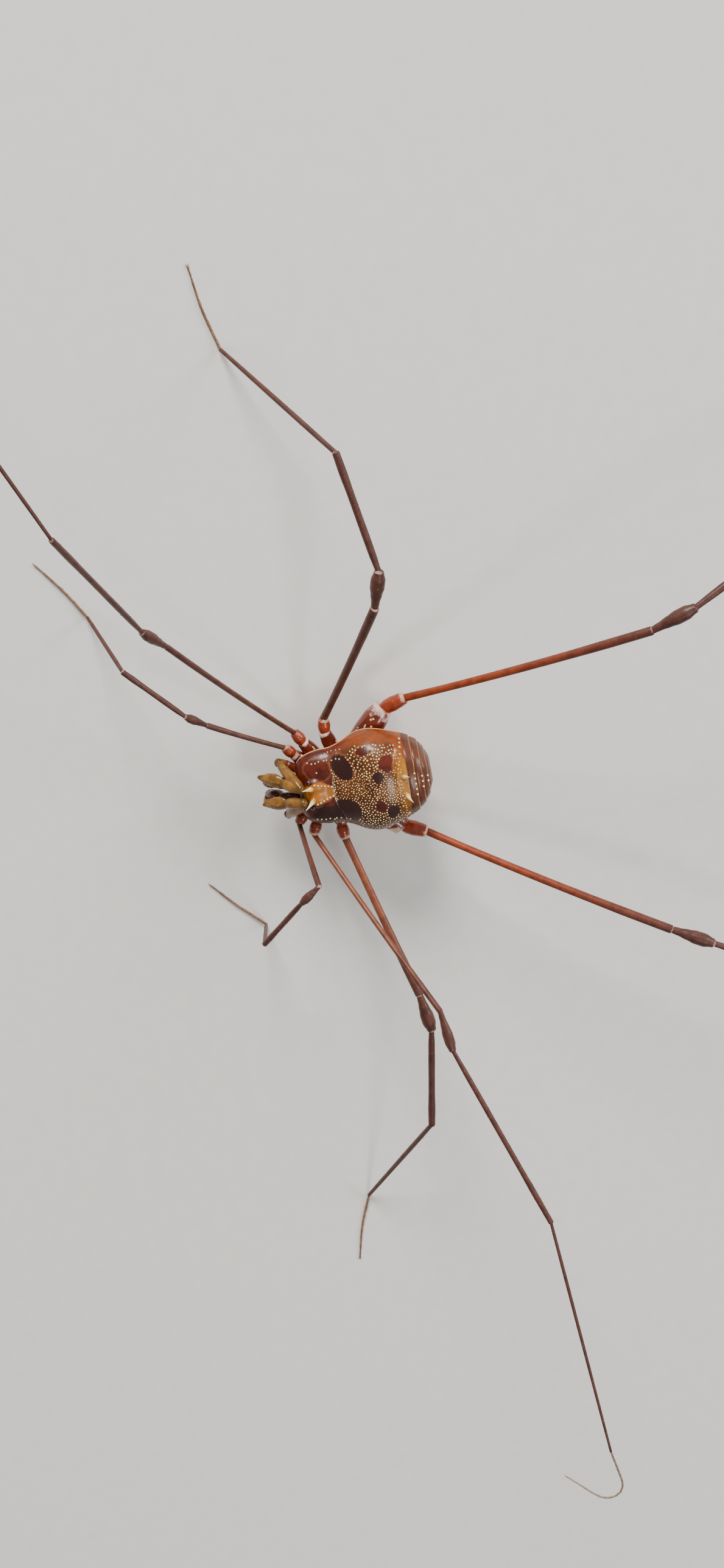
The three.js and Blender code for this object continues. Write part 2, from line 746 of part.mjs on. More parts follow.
const leftPieces = [
  ['chelicera', cheliceraSolid(), FINISHES.chelicera],
  ['eye', ellipsoid([EYE.x, EYE.y, EYE.z], Array(3).fill(EYE.radius), 12, 8), FINISHES.eye],
];
for (const [name, geometry, finish] of leftPieces) {
  animal.add(piece(`${name}_left`, geometry, finish));
  animal.add(piece(`${name}_right`, mirrored(geometry), finish));
}

for (const [word, side] of [['left', 1], ['right', -1]]) {
  animal.add(piece(`pedipalp_femur_${word}`, pedipalpFemurSolid(side), FINISHES.pedipalp));
  animal.add(piece(`pedipalp_tibia_${word}`, pedipalpTibiaSolid(side), FINISHES.pedipalp));
  for (const number of [1, 2, 3, 4]) {
    animal.add(...legMeshes(`leg_${number}_${word}`, number, side));
  }
}

// The origin is under the middle of the animal, on the floor
const bounds = new THREE.Box3().setFromObject(animal);
animal.position.set(-(bounds.min.x + bounds.max.x) / 2, -(bounds.min.y + bounds.max.y) / 2, -FLOOR);

const group = new THREE.Group();
group.add(animal);

export default group;
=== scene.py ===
"""Life-size harvestman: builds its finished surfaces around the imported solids."""

import math
import random

import bpy
import numpy as np
from bpy.props import FloatProperty, FloatVectorProperty, IntProperty, PointerProperty
from mathutils import Matrix, Vector


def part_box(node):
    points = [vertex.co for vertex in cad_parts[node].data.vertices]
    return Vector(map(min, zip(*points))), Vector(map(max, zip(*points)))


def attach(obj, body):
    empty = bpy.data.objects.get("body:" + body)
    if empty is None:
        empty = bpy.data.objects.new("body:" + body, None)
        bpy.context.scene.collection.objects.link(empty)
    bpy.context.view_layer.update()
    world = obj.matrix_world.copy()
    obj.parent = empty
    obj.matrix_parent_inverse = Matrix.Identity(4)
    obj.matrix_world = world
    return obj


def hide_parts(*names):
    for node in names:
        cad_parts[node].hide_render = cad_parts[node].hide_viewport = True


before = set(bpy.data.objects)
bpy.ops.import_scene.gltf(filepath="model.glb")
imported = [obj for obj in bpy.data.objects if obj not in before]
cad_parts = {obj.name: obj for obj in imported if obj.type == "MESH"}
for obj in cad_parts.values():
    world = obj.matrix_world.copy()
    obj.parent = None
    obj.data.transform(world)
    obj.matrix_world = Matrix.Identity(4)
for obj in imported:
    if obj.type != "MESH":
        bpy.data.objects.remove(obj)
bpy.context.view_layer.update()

bl_info = {
    "name": "Harvestman builder",
    "version": (1, 0, 0),
    "blender": (4, 5, 0),
    "location": "3D View > Sidebar > Harvestman",
    "description": "Models a life-size harvestman piece by piece",
    "category": "Object",
}

MM = 0.001
BODY = "root"
SEED = 11

# The body is modelled in millimetres, with z = 0 at the level of the trochanters.
# The animal faces -Y, and its left side is +X. All lengths below are in millimetres
# unless their comment says otherwise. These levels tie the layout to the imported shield.
FRONT_PLANE = -4.06
SPLIT_LEVEL = 0.9
FLOOR = -2.8
FLOOR_GAP = 0.002
TERGITE_PLANE = 2.5
SIDES = {"left": 1, "right": -1}


def frame_origin():
    """The place in the frame, in metres, of the body layout's zero point."""
    low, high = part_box("dorsal_shield")
    return Vector(((low.x + high.x) / 2, low.y - FRONT_PLANE * MM, low.z - SPLIT_LEVEL * MM))


TO_FRAME = Matrix.Translation(frame_origin()) @ Matrix.Scale(MM, 4)

# Outline of the dorsal shield: distance back, half width, height of the back
SHIELD_OUTLINE = [
    (FRONT_PLANE, 1.5, 1.3),
    (-3.75, 1.98, 1.66),
    (-3.2, 2.25, 1.92),
    (-2.5, 2.4, 2.06),
    (-1.85, 2.42, 2.12),
    (-1.1, 2.68, 2.52),
    (-0.3, 3.08, 3.05),
    (0.4, 3.2, 3.34),
    (1.1, 3.08, 3.38),
    (1.9, 2.8, 3.26),
    (2.55, 2.52, 3.22),
    (3.0, 2.24, 3.06),
    (3.4, 1.88, 2.82),
    (3.75, 1.3, 2.42),
    (3.98, 0.62, 1.85),
]
SHIELD_ROUNDNESS = 2.5
SHIELD_ROWS = 150
SHIELD_COLUMNS = 110
OUTLINE_STEPS = 16

# The shell's sides start a little above the split, and its floor is tucked in below them
SIDE_LIFT = 0.06
SIDE_TUCK = 0.16
ARCH_REACH = 0.97

# Outline of the belly: distance back, half width, lowest level
BELLY_OUTLINE = [
    (FRONT_PLANE, 1.1, -0.3),
    (-3.3, 1.6, -0.62),
    (-2.3, 2.0, -0.8),
    (-1.0, 2.4, -0.92),
    (0.3, 2.85, -1.0),
    (1.4, 2.7, -0.98),
    (2.5, 2.2, -0.72),
    (3.3, 1.6, -0.25),
    (3.85, 0.75, 0.35),
]
BELLY_ROUNDNESS = 2.2
BELLY_ROWS = 129
BELLY_COLUMNS = 60
STERNITES = (1.3, 1.85, 2.35, 2.8, 3.2)
FURROW_WIDTH = 0.05
FURROW_DEPTH = 0.06
FURROW_TINT_WIDTH = 0.07
BELLY_INSET = 0.03
BELLY_TOP_GAP = 0.02

# Eye mound: centre back, level, half width, half length, height
MOUND = {"y": -3.0, "level": 1.8, "half_width": 0.98, "half_length": 0.78, "height": 0.5}
SADDLE = {"half_width": 0.34, "depth": 0.13}
MOUND_BLEND = 0.12
NO_MOUND = -10.0
EYE = {"x": 0.84, "y": -3.36, "z": 2.08, "radius": 0.15}

# Markings of the shield: centre, half sizes and turn in degrees. The shield's left side
# is also painted darker than its right, as painted shade.
DARK_MARKS = [
    (-1.46, -1.26, 0.78, 0.6, 24),
    (-0.9, 0.76, 0.34, 0.34, 0),
    (1.3, -1.35, 0.8, 0.85, -15),
    (1.62, -2.5, 0.72, 1.0, 8),
    (1.5, 1.3, 0.46, 0.36, 0),
]
RED_MARKS = [
    (-2.42, 0.1, 0.22, 0.42, 10),
    (-1.58, 1.42, 0.46, 0.55, -20),
    (-1.42, -2.72, 0.6, 0.74, -5),
    (1.0, 0.66, 0.44, 0.34, 10),
]
GOLD_MARKS = [
    (-0.35, -0.9, 0.75, 0.95, 0),
    (0.1, 1.2, 0.5, 0.6, 0),
]
OUTLINED_MARKS = [DARK_MARKS[0], RED_MARKS[2], RED_MARKS[1], RED_MARKS[0]]
OUTLINE_REACH = (0.05, 0.11)
OUTLINE_STRENGTH = 0.2

# Yellow bands behind: strength and mark
REAR_BANDS = [
    (0.3, (-0.15, 2.1, 2.1, 0.5, 0)),
    (0.45, (-0.2, 2.24, 1.65, 0.34, 0)),
    (0.7, (-0.2, 2.34, 1.15, 0.26, 0)),
]
MOUND_MARK = (0.0, -2.9, 0.72, 0.95, 0)

# Grooves: distance back, bend, and where they start and end beside the midline
GROOVES = [
    (-1.93, 0.42, 0.0, 2.3),
    (-0.45, 0.22, 0.35, 2.2),
    (0.3, 0.18, 0.5, 2.4),
    (1.72, 0.2, 0.0, 2.3),
]
GROOVE_WIDTH = 0.05
GROOVE_DEPTH = 0.04
GROOVE_SPAN = 2.0
GROOVE_REACH = 0.9

# Where the shield's colours change: across as a share of its half width, with the left side
# below 0, and lengthwise in millimetres back
# SHADED_SIDE and SHADED_BAND paint shade on the left side of the middle and of the edge band
SHADED_SIDE = (-0.3, -0.85)
SHADED_BAND = (0.0, 0.2)
ORANGE_BAND = (0.83, 0.92)
RED_FRONT = (-1.75, -2.05)
RED_BAND = (-1.7, -0.2)
REAR_EDGE = (1.75, 2.0)

# The pale ridge along the shield's sides
RIM_FRONT = -3.9
RIM_LEVEL = 0.16
RIM_STEPS = 60
RIM_FACETS = 12
RIM_TAPER = 0.25

# Spines on the left: foot, lean, half thickness at the foot and bow
MOUND_SPINE = ((0.34, -3.26, 2.02), (0.27, -0.52, 0.72), 0.18, -0.05)
REAR_SPINE = ((0.57, 2.3, 3.12), (0.3, 0.3, 0.9), 0.17, 0.05)
SPINE_TAPER = (2.1, 1.5, 0.95, 0.62, 0.42, 0.24, 0.08)
SPINE_ROOT = 0.25

# Granule rows on each side: count, start and run as (beside, back), how far each place may
# vary, size, and least distance from the others
GRANULE_ROWS = [
    (9, (1.82, -3.25), (0.14, 1.95), (0.05, 0.06), 0.95, 0.1),
    (6, (2.18, -2.4), (0.25, 1.2), (0.0, 0.05), 0.75, 0.1),
    (6, (0.62, -3.05), (-0.32, 1.0), (0.0, 0.0), 1.25, 0.12),
]
SINGLE_GRANULES = [(-1.28, -2.8, 1.0), (0.0, -1.95, 1.1)]
REAR_GRANULES = [(2.5, 2.36), (2.38, 2.34), (2.22, 2.3), (1.9, 2.24)]
REAR_GRANULE_SIZE = 1.35
SINGLE_GAP = 0.1

# How far scattered granules reach to the sides, as a share of the half width: less in
# front of the waist, and more of it from there back
FRONT_REACH = 0.6
WAIST_GAIN = 0.27
WAIST_START = -1.7
WAIST_LENGTH = 1.3

# Scattered granules: how many are tried, where they may lie, and their sizes as shares of
# the granule radius. They are smaller along the midline and on the left, and farther apart
# towards the sides.
SCATTER_TRIES = 16000
SCATTER_HALF = 2.7
SCATTER_BACK = (-1.95, 2.15)
SPARSE_BACK = 1.75
SPARSE_SHARE = 0.8
MIDDLE_CENTRE = -0.2
MIDDLE_HALF = 1.1
MIDDLE_SIZES = (0.5, 0.9)
OUTER_SIZES = (0.7, 1.1)
OUTER_GAP = 1.15
GAP_RANGE = (0.95, 1.25)
LEFT_FROM = 0.9
LEFT_SIZE = 0.85

# Granules on the yellow band: count, reach beside the midline, reach back, sizes, gap
BAND_GRANULES = (22, 1.7, (1.95, 2.4), (0.7, 1.0), 0.25)

# A bead's height to its width, and how far a granule's centre stands over the shell
BEAD_FLATNESS = 0.8
BEAD_RISE = 0.15

# Tergites: their edges, and the profile of one plate as share of its length and lift
TERGITE_EDGES = (TERGITE_PLANE - 0.06, 2.98, 3.4, 3.74, 3.97)
TERGITE_PROFILE = ((0.0, -0.08), (0.08, -0.06), (0.2, -0.03), (0.5, -0.01), (0.78, 0.0),
                   (0.86, 0.014), (0.94, 0.012), (0.99, -0.05))
TERGITE_COLUMNS = 96
TERGITE_LIFT = 0.02

# Two waves that keep the tergites' edges from being straight: height, pace across the body
# and shift from plate to plate, both in radians
TERGITE_WAVES = ((0.012, 4.1, 1.7), (0.01, 9.3, 1.0))

# Where on a plate its colour turns pale, over what length, and how pale its end face is
PALE_FROM = 0.76
PALE_LENGTH = 0.2
PALE_TO = 0.98
PALE_FACE = 0.1

# Tubercles of the tergites: distance back and count
TERGITE_TUBERCLES = ((2.9, 5), (3.33, 3), (3.68, 2))
TUBERCLE_STEP = 0.34
TUBERCLE_LEVEL = 0.03
TUBERCLE_LEAN = (0, 0.4, 1)
TUBERCLE_RADIUS = 0.068

# The genital plate: start, end, half widths and flatness
PLATE = ((0, -0.2, -0.92), (0, -0.95, -0.92), (0.3, 0.44, 0.42, 0.24), 0.45)

# Legs: coxa root, hip, thigh, coxa radius, as millimetres on the left side
HIPS = {
    1: ((0.5, -2.75, -0.5), (1.95, -3.98, 0.0), (2.5, -4.43, 0.1), 0.42),
    2: ((0.5, -2.1, -0.55), (2.62, -3.3, 0.02), (3.35, -3.68, 0.15), 0.46),
    3: ((0.6, -1.35, -0.55), (3.05, -1.92, 0.05), (3.95, -1.83, 0.15), 0.46),
    4: ((1.3, -0.5, -0.35), (3.85, 1.7, 0.05), (4.4, 3.1, 0.3), 0.8),
}

# Coxae: shape as shares of the radius, number of tubercles on each pair of legs, and how
# much of its distance to the joint the hind coxa keeps, which widens its membrane
COXA_SHAPE = (0.75, 0.95, 1.0, 0.98, 0.8)
PALP_COXA = (0.25, 0.28, 0.26)
COXA_TUBERCLES = {1: 4, 2: 4, 3: 4, 4: 12}
HIND_MEMBRANE = 0.45

# Tubercles of a coxa: where along it, how they stand out from the body, and radii
COXA_SPAN = (0.35, 0.85)
COXA_WAYS = ((0.2, 0.9), (-0.2, 0.5), (0.3, 0.9))
COXA_TUBERCLE_RADII = (0.05, 0.08)

# Segments beyond the trochanter, and their lengths on each pair of legs
SEGMENTS = ("femur", "patella", "tibia", "metatarsus", "tarsus")
LEG_PARTS = len(SEGMENTS) + 1
LENGTHS = {
    1: (5.5, 1.5, 4.6, 6.0, 4.3),
    2: (13.5, 2.5, 12.2, 16.2, 7.5),
    3: (10.7, 2.4, 7.1, 11.2, 4.9),
    4: (16.0, 2.75, 11.2, 17.0, 4.9),
}

# Sweep and rise of each segment in degrees, and how far the tarsus curls. Where the rise
# of the last two is missing, the metatarsus reaches down to the floor.
POSES = {
    "leg_1_right": ((54, 50, 41, 45, 30), (21, 17, 3), 6),
    "leg_1_left": ((-17, 52, 41, 0, 135), (67, -4, -24), 6),
    "leg_2_right": ((32, 32, 18, 20, 12), (35, 41, 44, 12, -18), 15),
    "leg_2_left": ((-32, -8, -20, -5, -10), (38, 14, 14, 7, -4), 146),
    "leg_3_right": ((-26, -14, 10, 48, 15), (32, 15, -4), -8),
    "leg_3_left": ((-16, -9, 8, 31, 20), (18, 8, -4), -8),
    "leg_4_right": ((-75, -67, -63, -58, -50), (23, 10, -6), 8),
    "leg_4_left": ((-61, -61, -58, -54, -46), (14, 4, -4), 8),
}

# Girth and facets of the foot's solid, and the femur's bow as a share of its length
FOOT_GIRTH = 0.4
FOOT_SIDES = 8
FEMUR_BOW = 0.018

# Rounded ends of a limb, and how far they stand out as shares of its half thickness
CAP_RINGS = 3
CAP_START = 0.4
ROUND_CAPS = (0.7, 0.7)

# Real half thickness along each segment, and how stout it is on each pair of legs
SHAPES = {
    "trochanter": (0.26, 0.34, 0.36, 0.33, 0.29),
    "femur": (0.16, 0.15, 0.155, 0.16, 0.165, 0.18, 0.18),
    "patella": (0.15, 0.18, 0.24, 0.3, 0.3, 0.21),
    "tibia": (0.13, 0.165, 0.17, 0.165, 0.165, 0.185, 0.17),
    "metatarsus": (0.12, 0.13, 0.125, 0.115, 0.1),
    "tarsus": (0.09, 0.09, 0.082, 0.072, 0.05),
}
STOUTNESS = {
    "trochanter": {1: 1.0, 2: 1.04, 3: 1.08, 4: 1.3},
    "femur": {1: 1.0, 2: 1.0, 3: 1.5, 4: 1.5},
    "patella": {1: 0.88, 2: 1.06, 3: 1.4, 4: 1.4},
    "tibia": {1: 1.0, 2: 1.0, 3: 1.28, 4: 1.4},
    "metatarsus": {1: 1.0, 2: 0.82, 3: 1.2, 4: 1.25},
    "tarsus": {1: 0.95, 2: 0.8, 3: 0.95, 4: 1.0},
}

# The tarsus: its short joints on each pair of legs, and their shape
TARSOMERES = {1: 7, 2: 17, 3: 8, 4: 9}
TARSOMERE_SHAPE = (0.72, 0.9, 0.98, 1.0, 0.9)
TARSUS_STEPS = 28

# Where along the tarsus its curl starts, over what share of it, and where it has come down
CURL_START = 0.3
CURL_LENGTH = 0.45
LANDED = 0.25

# Claws on each pair of legs, their spread in degrees, drop, half thickness and height over
# the floor
CLAWS = {1: 1, 2: 1, 3: 2, 4: 2}
CLAW_SPLAY = 16
CLAW_DROP = 0.04
CLAW_SHAPE = (0.045, 0.04, 0.028, 0.01)
CLAW_GAP = 0.02

# Legs whose femora are a warmer brown
WARM_LEGS = ("leg_2_left", "leg_3_left")

# Bristles to each millimetre of the femur and patella, and of the segments beyond
BRISTLES_NEAR = 7
BRISTLES_FAR = 11
BRISTLE_RADIUS = 0.009
BRISTLE_GAP = 0.01

# Tubercles of the legs: turn of each row in degrees, spacing, and radii
TUBERCLE_ROWS = (-50, 0, 50)
TUBERCLE_SPACING = 0.62
TUBERCLE_RADII = (0.018, 0.03)

# How deep tubercles and bristles sit, as a share of the half thickness under them
TUBERCLE_SEAT = 0.98
BRISTLE_SEAT = 0.94

# Joints of the left pedipalp
PALP = {
    "root": (0.6, -3.5, -0.1),
    "hip": (1.5, -4.6, 0.14),
    "thigh": (1.74, -5.0, 0.36),
    "knee": (0.44, -3.88, 2.28),
    "shin": (0.66, -4.86, 1.56),
    "wrist": (0.9, -6.22, 0.82),
    "tip": (0.7, -6.14, 0.16),
}

# How far each joint of both pedipalps is swung to the side
PALP_SWING = {"knee": -0.1, "shin": -0.18, "wrist": -0.28, "tip": -0.3}

# The left chelicera: joints, half sizes of its hand, and length of its fingers
CHELICERA = {
    "base": (0.47, -4.14, 0.84),
    "elbow": (0.52, -5.1, 0.62),
    "hand": (0.52, -5.55, 0.02),
    "hand_half": (0.41, 0.6, 0.62),
    "fingers": (0.52, -5.78, -0.42),
    "finger_length": 0.72,
}

# Half thickness along its arm and fingers, and the setae on each hand
ARM_SHAPE = (0.31, 0.33, 0.37, 0.36)
FINGER_SHAPE = (0.16, 0.15, 0.12, 0.08, 0.03)
SETAE = 11
SETA_LENGTHS = (0.22, 0.4)
SETA_RADIUS = 0.013

# Half thickness along each part of the pedipalp
PALP_SHAPES = {
    "trochanter": (0.24, 0.28, 0.27),
    "femur": (0.2, 0.3, 0.38, 0.42, 0.4, 0.32),
    "patella": (0.26, 0.33, 0.36, 0.34, 0.28),
    "tibia": (0.26, 0.38, 0.44, 0.43, 0.36, 0.25, 0.15),
    "tarsus": (0.12, 0.12, 0.1, 0.08, 0.05),
    "claw": (0.045, 0.03, 0.008),
}

# The spoon of the pedipalp's tibia: flatness, droop at its sides, and height and width of
# its keel
SPOON = {"flatness": 0.42, "droop": 0.45, "keel": 0.05, "keel_width": 0.06}

# Colours as linear values: the eye's black and its painted brown glow, and the shade on the legs
EYE_BLACK = (0.006, 0.005, 0.006)
EYE_PAINTED_GLOW = (0.02, 0.012, 0.01)
LEG_SHADE = (0.62, 0.55, 0.55)

# Camera: the photograph's size, scale, tilt and roll, and the sensor's size in millimetres
PHOTO_WIDTH = 1189
PHOTO_HEIGHT = 2576
PIXELS_PER_MM = 27.2
BODY_PIXEL = (598.0, 1268.75)
CAMERA_TILT = 23.0
CAMERA_ROLL = 10.0
SENSOR_SIZE = 36.0
CLIP_RANGE = (0.002, 10.0)

# Lamps: place to the right, up and towards the viewer in metres, radius, power and colour
LAMPS = {
    "key_light": ((-0.1, 0.42, 0.5), 0.11, 28.0, (1.0, 0.97, 0.93)),
    "fill_light": ((0.3, -0.4, 0.45), 0.08, 5.6, (1.0, 0.98, 0.96)),
    "edge_light": ((0.5, 0.15, 0.3), 0.12, 8.0, (1.0, 1.0, 1.0)),
}
SURROUND_COLOUR = (1.0, 0.98, 0.95, 1.0)
SURROUND_STRENGTH = 0.36
STAGE_SIZE = 12.0
STAGE_DROP = 0.00001


def linear(red, green, blue):
    """A display colour from 0 to 255 as the linear colour that shaders take."""
    shares = [value / 255 for value in (red, green, blue)]
    return tuple(s / 12.92 if s <= 0.04045 else ((s + 0.055) / 1.055) ** 2.4 for s in shares)


def length_property(name, description, millimetres):
    return FloatProperty(name=name, description=description, default=millimetres * MM,
                         min=0.0, unit="LENGTH", precision=6)


def colour_property(name, description, *display):
    return FloatVectorProperty(name=name, description=description, default=linear(*display),
                               size=3, min=0.0, max=1.0, subtype="COLOR")


class HarvestmanSizes(bpy.types.PropertyGroup):
    """Sizes of the small parts, the spacing of the granules and the camera's distance"""

    granule: length_property("Granule", "Radius of a pale granule on the back", 0.056)
    rim: length_property("Shield rim", "Radius of the pale ridge along the shield's edge", 0.05)
    mound_spine: length_property("Mound spine", "Length of the spines on the eye mound", 0.98)
    rear_spine: length_property("Rear spine", "Length of the two spines behind", 0.85)
    bristle: length_property("Bristle", "Length of a leg bristle", 0.13)
    claw: length_property("Claw", "Length of a tarsal claw", 0.3)
    camera_distance: length_property("Camera distance", "From the lens to the body", 140.0)
    granule_gap: length_property("Granule spacing", "Least distance between granules", 0.118)
    leg_facets: IntProperty(name="Leg facets", description="Facets round a leg",
                            default=20, min=8, max=48)


class HarvestmanColours(bpy.types.PropertyGroup):
    """Colours of the animal and of the floor"""

    orange: colour_property("Shield edge", "Orange band along the shield's sides", 130, 57, 4)
    brown: colour_property("Shield middle", "Golden brown of the granulate middle", 92, 48, 18)
    honey: colour_property("Shield centre", "Honey brown near the midline", 116, 66, 20)
    dark: colour_property("Dark marks", "Purple-brown marks on the shield", 46, 20, 15)
    red: colour_property("Red marks", "Reddish marks on the shield", 86, 28, 14)
    yellow: colour_property("Rear band", "Yellow band at the shield's rear", 168, 112, 28)
    gold: colour_property("Eye mound", "Golden saddle between the eyes", 158, 92, 18)
    cream: colour_property("Cream", "Granules and spines", 240, 218, 160)
    rim: colour_property("Rim", "Tan ridge along the shield's edge", 205, 130, 76)
    tergite: colour_property("Tergites", "Brown of the free tergites", 92, 44, 22)
    tan: colour_property("Tergite edges", "Tan edges of the free tergites", 150, 98, 44)
    coxa: colour_property("Coxae", "Orange red of the coxae", 112, 40, 22)
    trochanter: colour_property("Trochanters", "Red brown of the trochanters", 146, 54, 22)
    membrane: colour_property("Membrane", "Pinkish white of the joints", 206, 170, 156)
    leg_near: colour_property("Upper legs", "Red brown of the femora", 92, 52, 38)
    leg_hind: colour_property("Hind femora", "Orange brown of the hind femora", 134, 54, 20)
    leg_warm: colour_property("Left femora", "Warm brown of the left femora", 124, 66, 40)
    leg_far: colour_property("Lower legs", "Purple brown of the tibiae", 78, 42, 33)
    foot: colour_property("Feet", "Pale brown of the tarsi", 132, 98, 72)
    thin_foot: colour_property("Second feet", "Grey brown of the second tarsi", 134, 114, 98)
    palp: colour_property("Pedipalps", "Golden olive of the pedipalps", 140, 97, 46)
    jaw: colour_property("Chelicerae", "Dark red brown of the chelicerae", 104, 56, 36)
    bristle: colour_property("Bristles", "Brown of the bristles", 120, 84, 60)
    tubercle: colour_property("Leg tubercles", "Brown of the tiny leg tubercles", 128, 84, 56)
    floor: colour_property("Floor", "Pale studio floor", 222, 220, 216)


# Small helpers for modelling

def sizes():
    return bpy.context.scene.harvestman_sizes


def colours():
    return bpy.context.scene.harvestman_colours


def clear_selection():
    if bpy.context.mode != "OBJECT":
        bpy.ops.object.mode_set(mode="OBJECT")
    bpy.ops.object.select_all(action="DESELECT")


def activate(piece):
    clear_selection()
    piece.select_set(True)
    bpy.context.view_layer.objects.active = piece


def joined(name, pieces):
    """One object of several, with every attribute kept."""
    activate(pieces[0])
    for other in pieces[1:]:
        other.select_set(True)
    if len(pieces) > 1:
        bpy.ops.object.join()
    result = bpy.context.active_object
    result.name = name
    result.data.name = name
    return result


def edit_all(piece, step):
    """Runs an edit-mode operator on the whole of a piece."""
    activate(piece)
    bpy.ops.object.mode_set(mode="EDIT")
    bpy.ops.mesh.select_all(action="SELECT")
    step()
    bpy.ops.object.mode_set(mode="OBJECT")


def face_outwards(piece):
    edit_all(piece, lambda: bpy.ops.mesh.normals_make_consistent(inside=False))


def settle(piece, material, nodes=(), angle=60):
    """Moves a finished piece from the body layout into the frame, gives it its material and smooth
    shading, hangs it on the body and hides the imported solids it replaces.
    """
    piece.data.materials.clear()
    piece.data.materials.append(material)
    for face in piece.data.polygons:
        face.material_index = 0
    activate(piece)
    bpy.ops.object.shade_smooth_by_angle(angle=math.radians(angle))
    piece.data.transform(TO_FRAME)
    piece.data.update()
    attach(piece, BODY)
    if nodes:
        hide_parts(*nodes)


def mesh_piece(name, points, faces):
    mesh = bpy.data.meshes.new(name)
    mesh.from_pydata([tuple(point) for point in points], [], faces)
    mesh.update()
    piece = bpy.data.objects.new(name, mesh)
    bpy.context.scene.collection.objects.link(piece)
    return piece


def lofted(name, rings):
    """A closed skin over rings of equal count, with a fan over each end."""
    count = len(rings[0])
    points = [point for ring in rings for point in ring]
    faces = []
    for row in range(len(rings) - 1):
        for column in range(count):
            beside = (column + 1) % count
            faces.append((row * count + column, row * count + beside,
                          (row + 1) * count + beside, (row + 1) * count + column))
    for row in (0, len(rings) - 1):
        hub = len(points)
        points.append(tuple(np.mean(np.array(rings[row], float), axis=0)))
        for column in range(count):
            beside = (column + 1) % count
            faces.append((row * count + column, row * count + beside, hub))
    piece = mesh_piece(name, points, faces)
    face_outwards(piece)
    return piece


def set_values(piece, name, values):
    """Keeps one number for each point of a piece, for its material."""
    layer = piece.data.attributes.new(name, "FLOAT", "POINT")
    layer.data.foreach_set("value", np.asarray(values, np.float32))


def scale_values(piece, name, share):
    values = np.empty(len(piece.data.vertices), np.float32)
    layer = piece.data.attributes[name]
    layer.data.foreach_get("value", values)
    layer.data.foreach_set("value", values * np.float32(share))


def coordinates(piece):
    flat = np.empty(len(piece.data.vertices) * 3, np.float32)
    piece.data.vertices.foreach_get("co", flat)
    return flat.reshape(-1, 3).astype(float)


def move_points(piece, points):
    piece.data.vertices.foreach_set("co", np.asarray(points, np.float32).ravel())
    piece.data.update()


def turned(name, stations, facets):
    """A limb drawn up +Z from a disc, ring by ring. A station is height, radius, offset."""
    clear_selection()
    height, radius, offset = stations[0]
    bpy.ops.mesh.primitive_circle_add(vertices=facets, radius=radius, fill_type="NGON",
                                      location=(0, 0, 0))
    piece = bpy.context.active_object
    piece.data.transform(Matrix.Translation((0, offset, height)))
    bpy.ops.object.mode_set(mode="EDIT")
    bpy.ops.mesh.select_all(action="SELECT")
    for step, (next_height, next_radius, next_offset) in enumerate(stations[1:]):
        height, radius, offset = stations[step]
        rise = (0, next_offset - offset, next_height - height)
        bpy.ops.mesh.extrude_region_move(TRANSFORM_OT_translate={"value": rise})
        grow = next_radius / radius
        bpy.ops.transform.resize(value=(grow, grow, 1.0),
                                 center_override=(0, next_offset, next_height))
    bpy.ops.mesh.select_all(action="SELECT")
    bpy.ops.mesh.normals_make_consistent(inside=False)
    bpy.ops.object.mode_set(mode="OBJECT")
    piece.name = name
    return piece


def clamped(value):
    return min(max(value, 0.0), 1.0)


def eased(share):
    """A share from 0 to 1 that starts and ends gently."""
    return share * share * (3 - 2 * share)


def bowed(height, share):
    """Rise of a gentle bow of the given height at a share of its length."""
    return height * 4 * share * (1 - share)


def smooth_value(values, share):
    """A value along evenly spaced ones, eased from each to the next."""
    place = clamped(share) * (len(values) - 1)
    low = min(int(place), len(values) - 2)
    part = eased(place - low)
    return values[low] * (1 - part) + values[low + 1] * part


def limb_stations(length, radii, rings, bow, caps):
    """Stations of a limb with rounded ends that reach a little past its joints."""
    first, last = radii[0], radii[-1]
    angles = [math.radians(90 * (step + CAP_START) / CAP_RINGS) for step in range(CAP_RINGS)]
    stations = []
    for angle in angles:
        stations.append((-caps[0] * first * math.cos(angle), first * math.sin(angle), 0.0))
    for step in range(rings + 1):
        share = step / rings
        stations.append((length * share, smooth_value(radii, share), bowed(bow, share)))
    for angle in reversed(angles):
        stations.append((length + caps[1] * last * math.cos(angle), last * math.sin(angle), 0.0))
    return stations


def turned_limb(name, start, end, radii, rings=8, bow=0.0, flatness=1.0, over=(0, 0, 1),
                facets=None, order=0.0, caps=ROUND_CAPS):
    """A limb from one joint to the next, with its distance from the joints kept for its colours."""
    start, end = Vector(start), Vector(end)
    length = (end - start).length
    piece = turned(name, limb_stations(length, radii, rings, bow, caps),
                   facets or sizes().leg_facets)
    points = coordinates(piece)
    share = np.clip(points[:, 2] / length, 0, 1)
    set_values(piece, "to_end", length - points[:, 2])
    set_values(piece, "along", share)
    set_values(piece, "outward", order + share / LEG_PARTS)
    points[:, 1] *= flatness
    move_points(piece, points)
    piece.data.transform(limb_matrix(start, end, over))
    return piece


def limb_matrix(start, end, over):
    """Stands local +Z along the limb, with local +Y as near the given way as it can be."""
    along = (end - start).normalized()
    side = Vector(over).cross(along).normalized()
    upper = along.cross(side)
    turn = Matrix((side, upper, along)).transposed().to_4x4()
    return Matrix.Translation(start) @ turn


def on_side(place, side):
    return Vector((side * place[0], place[1], place[2]))


def palp_place(key, side):
    place = on_side(PALP[key], side)
    place.x += PALP_SWING.get(key, 0)
    return place


# Surfaces of the body

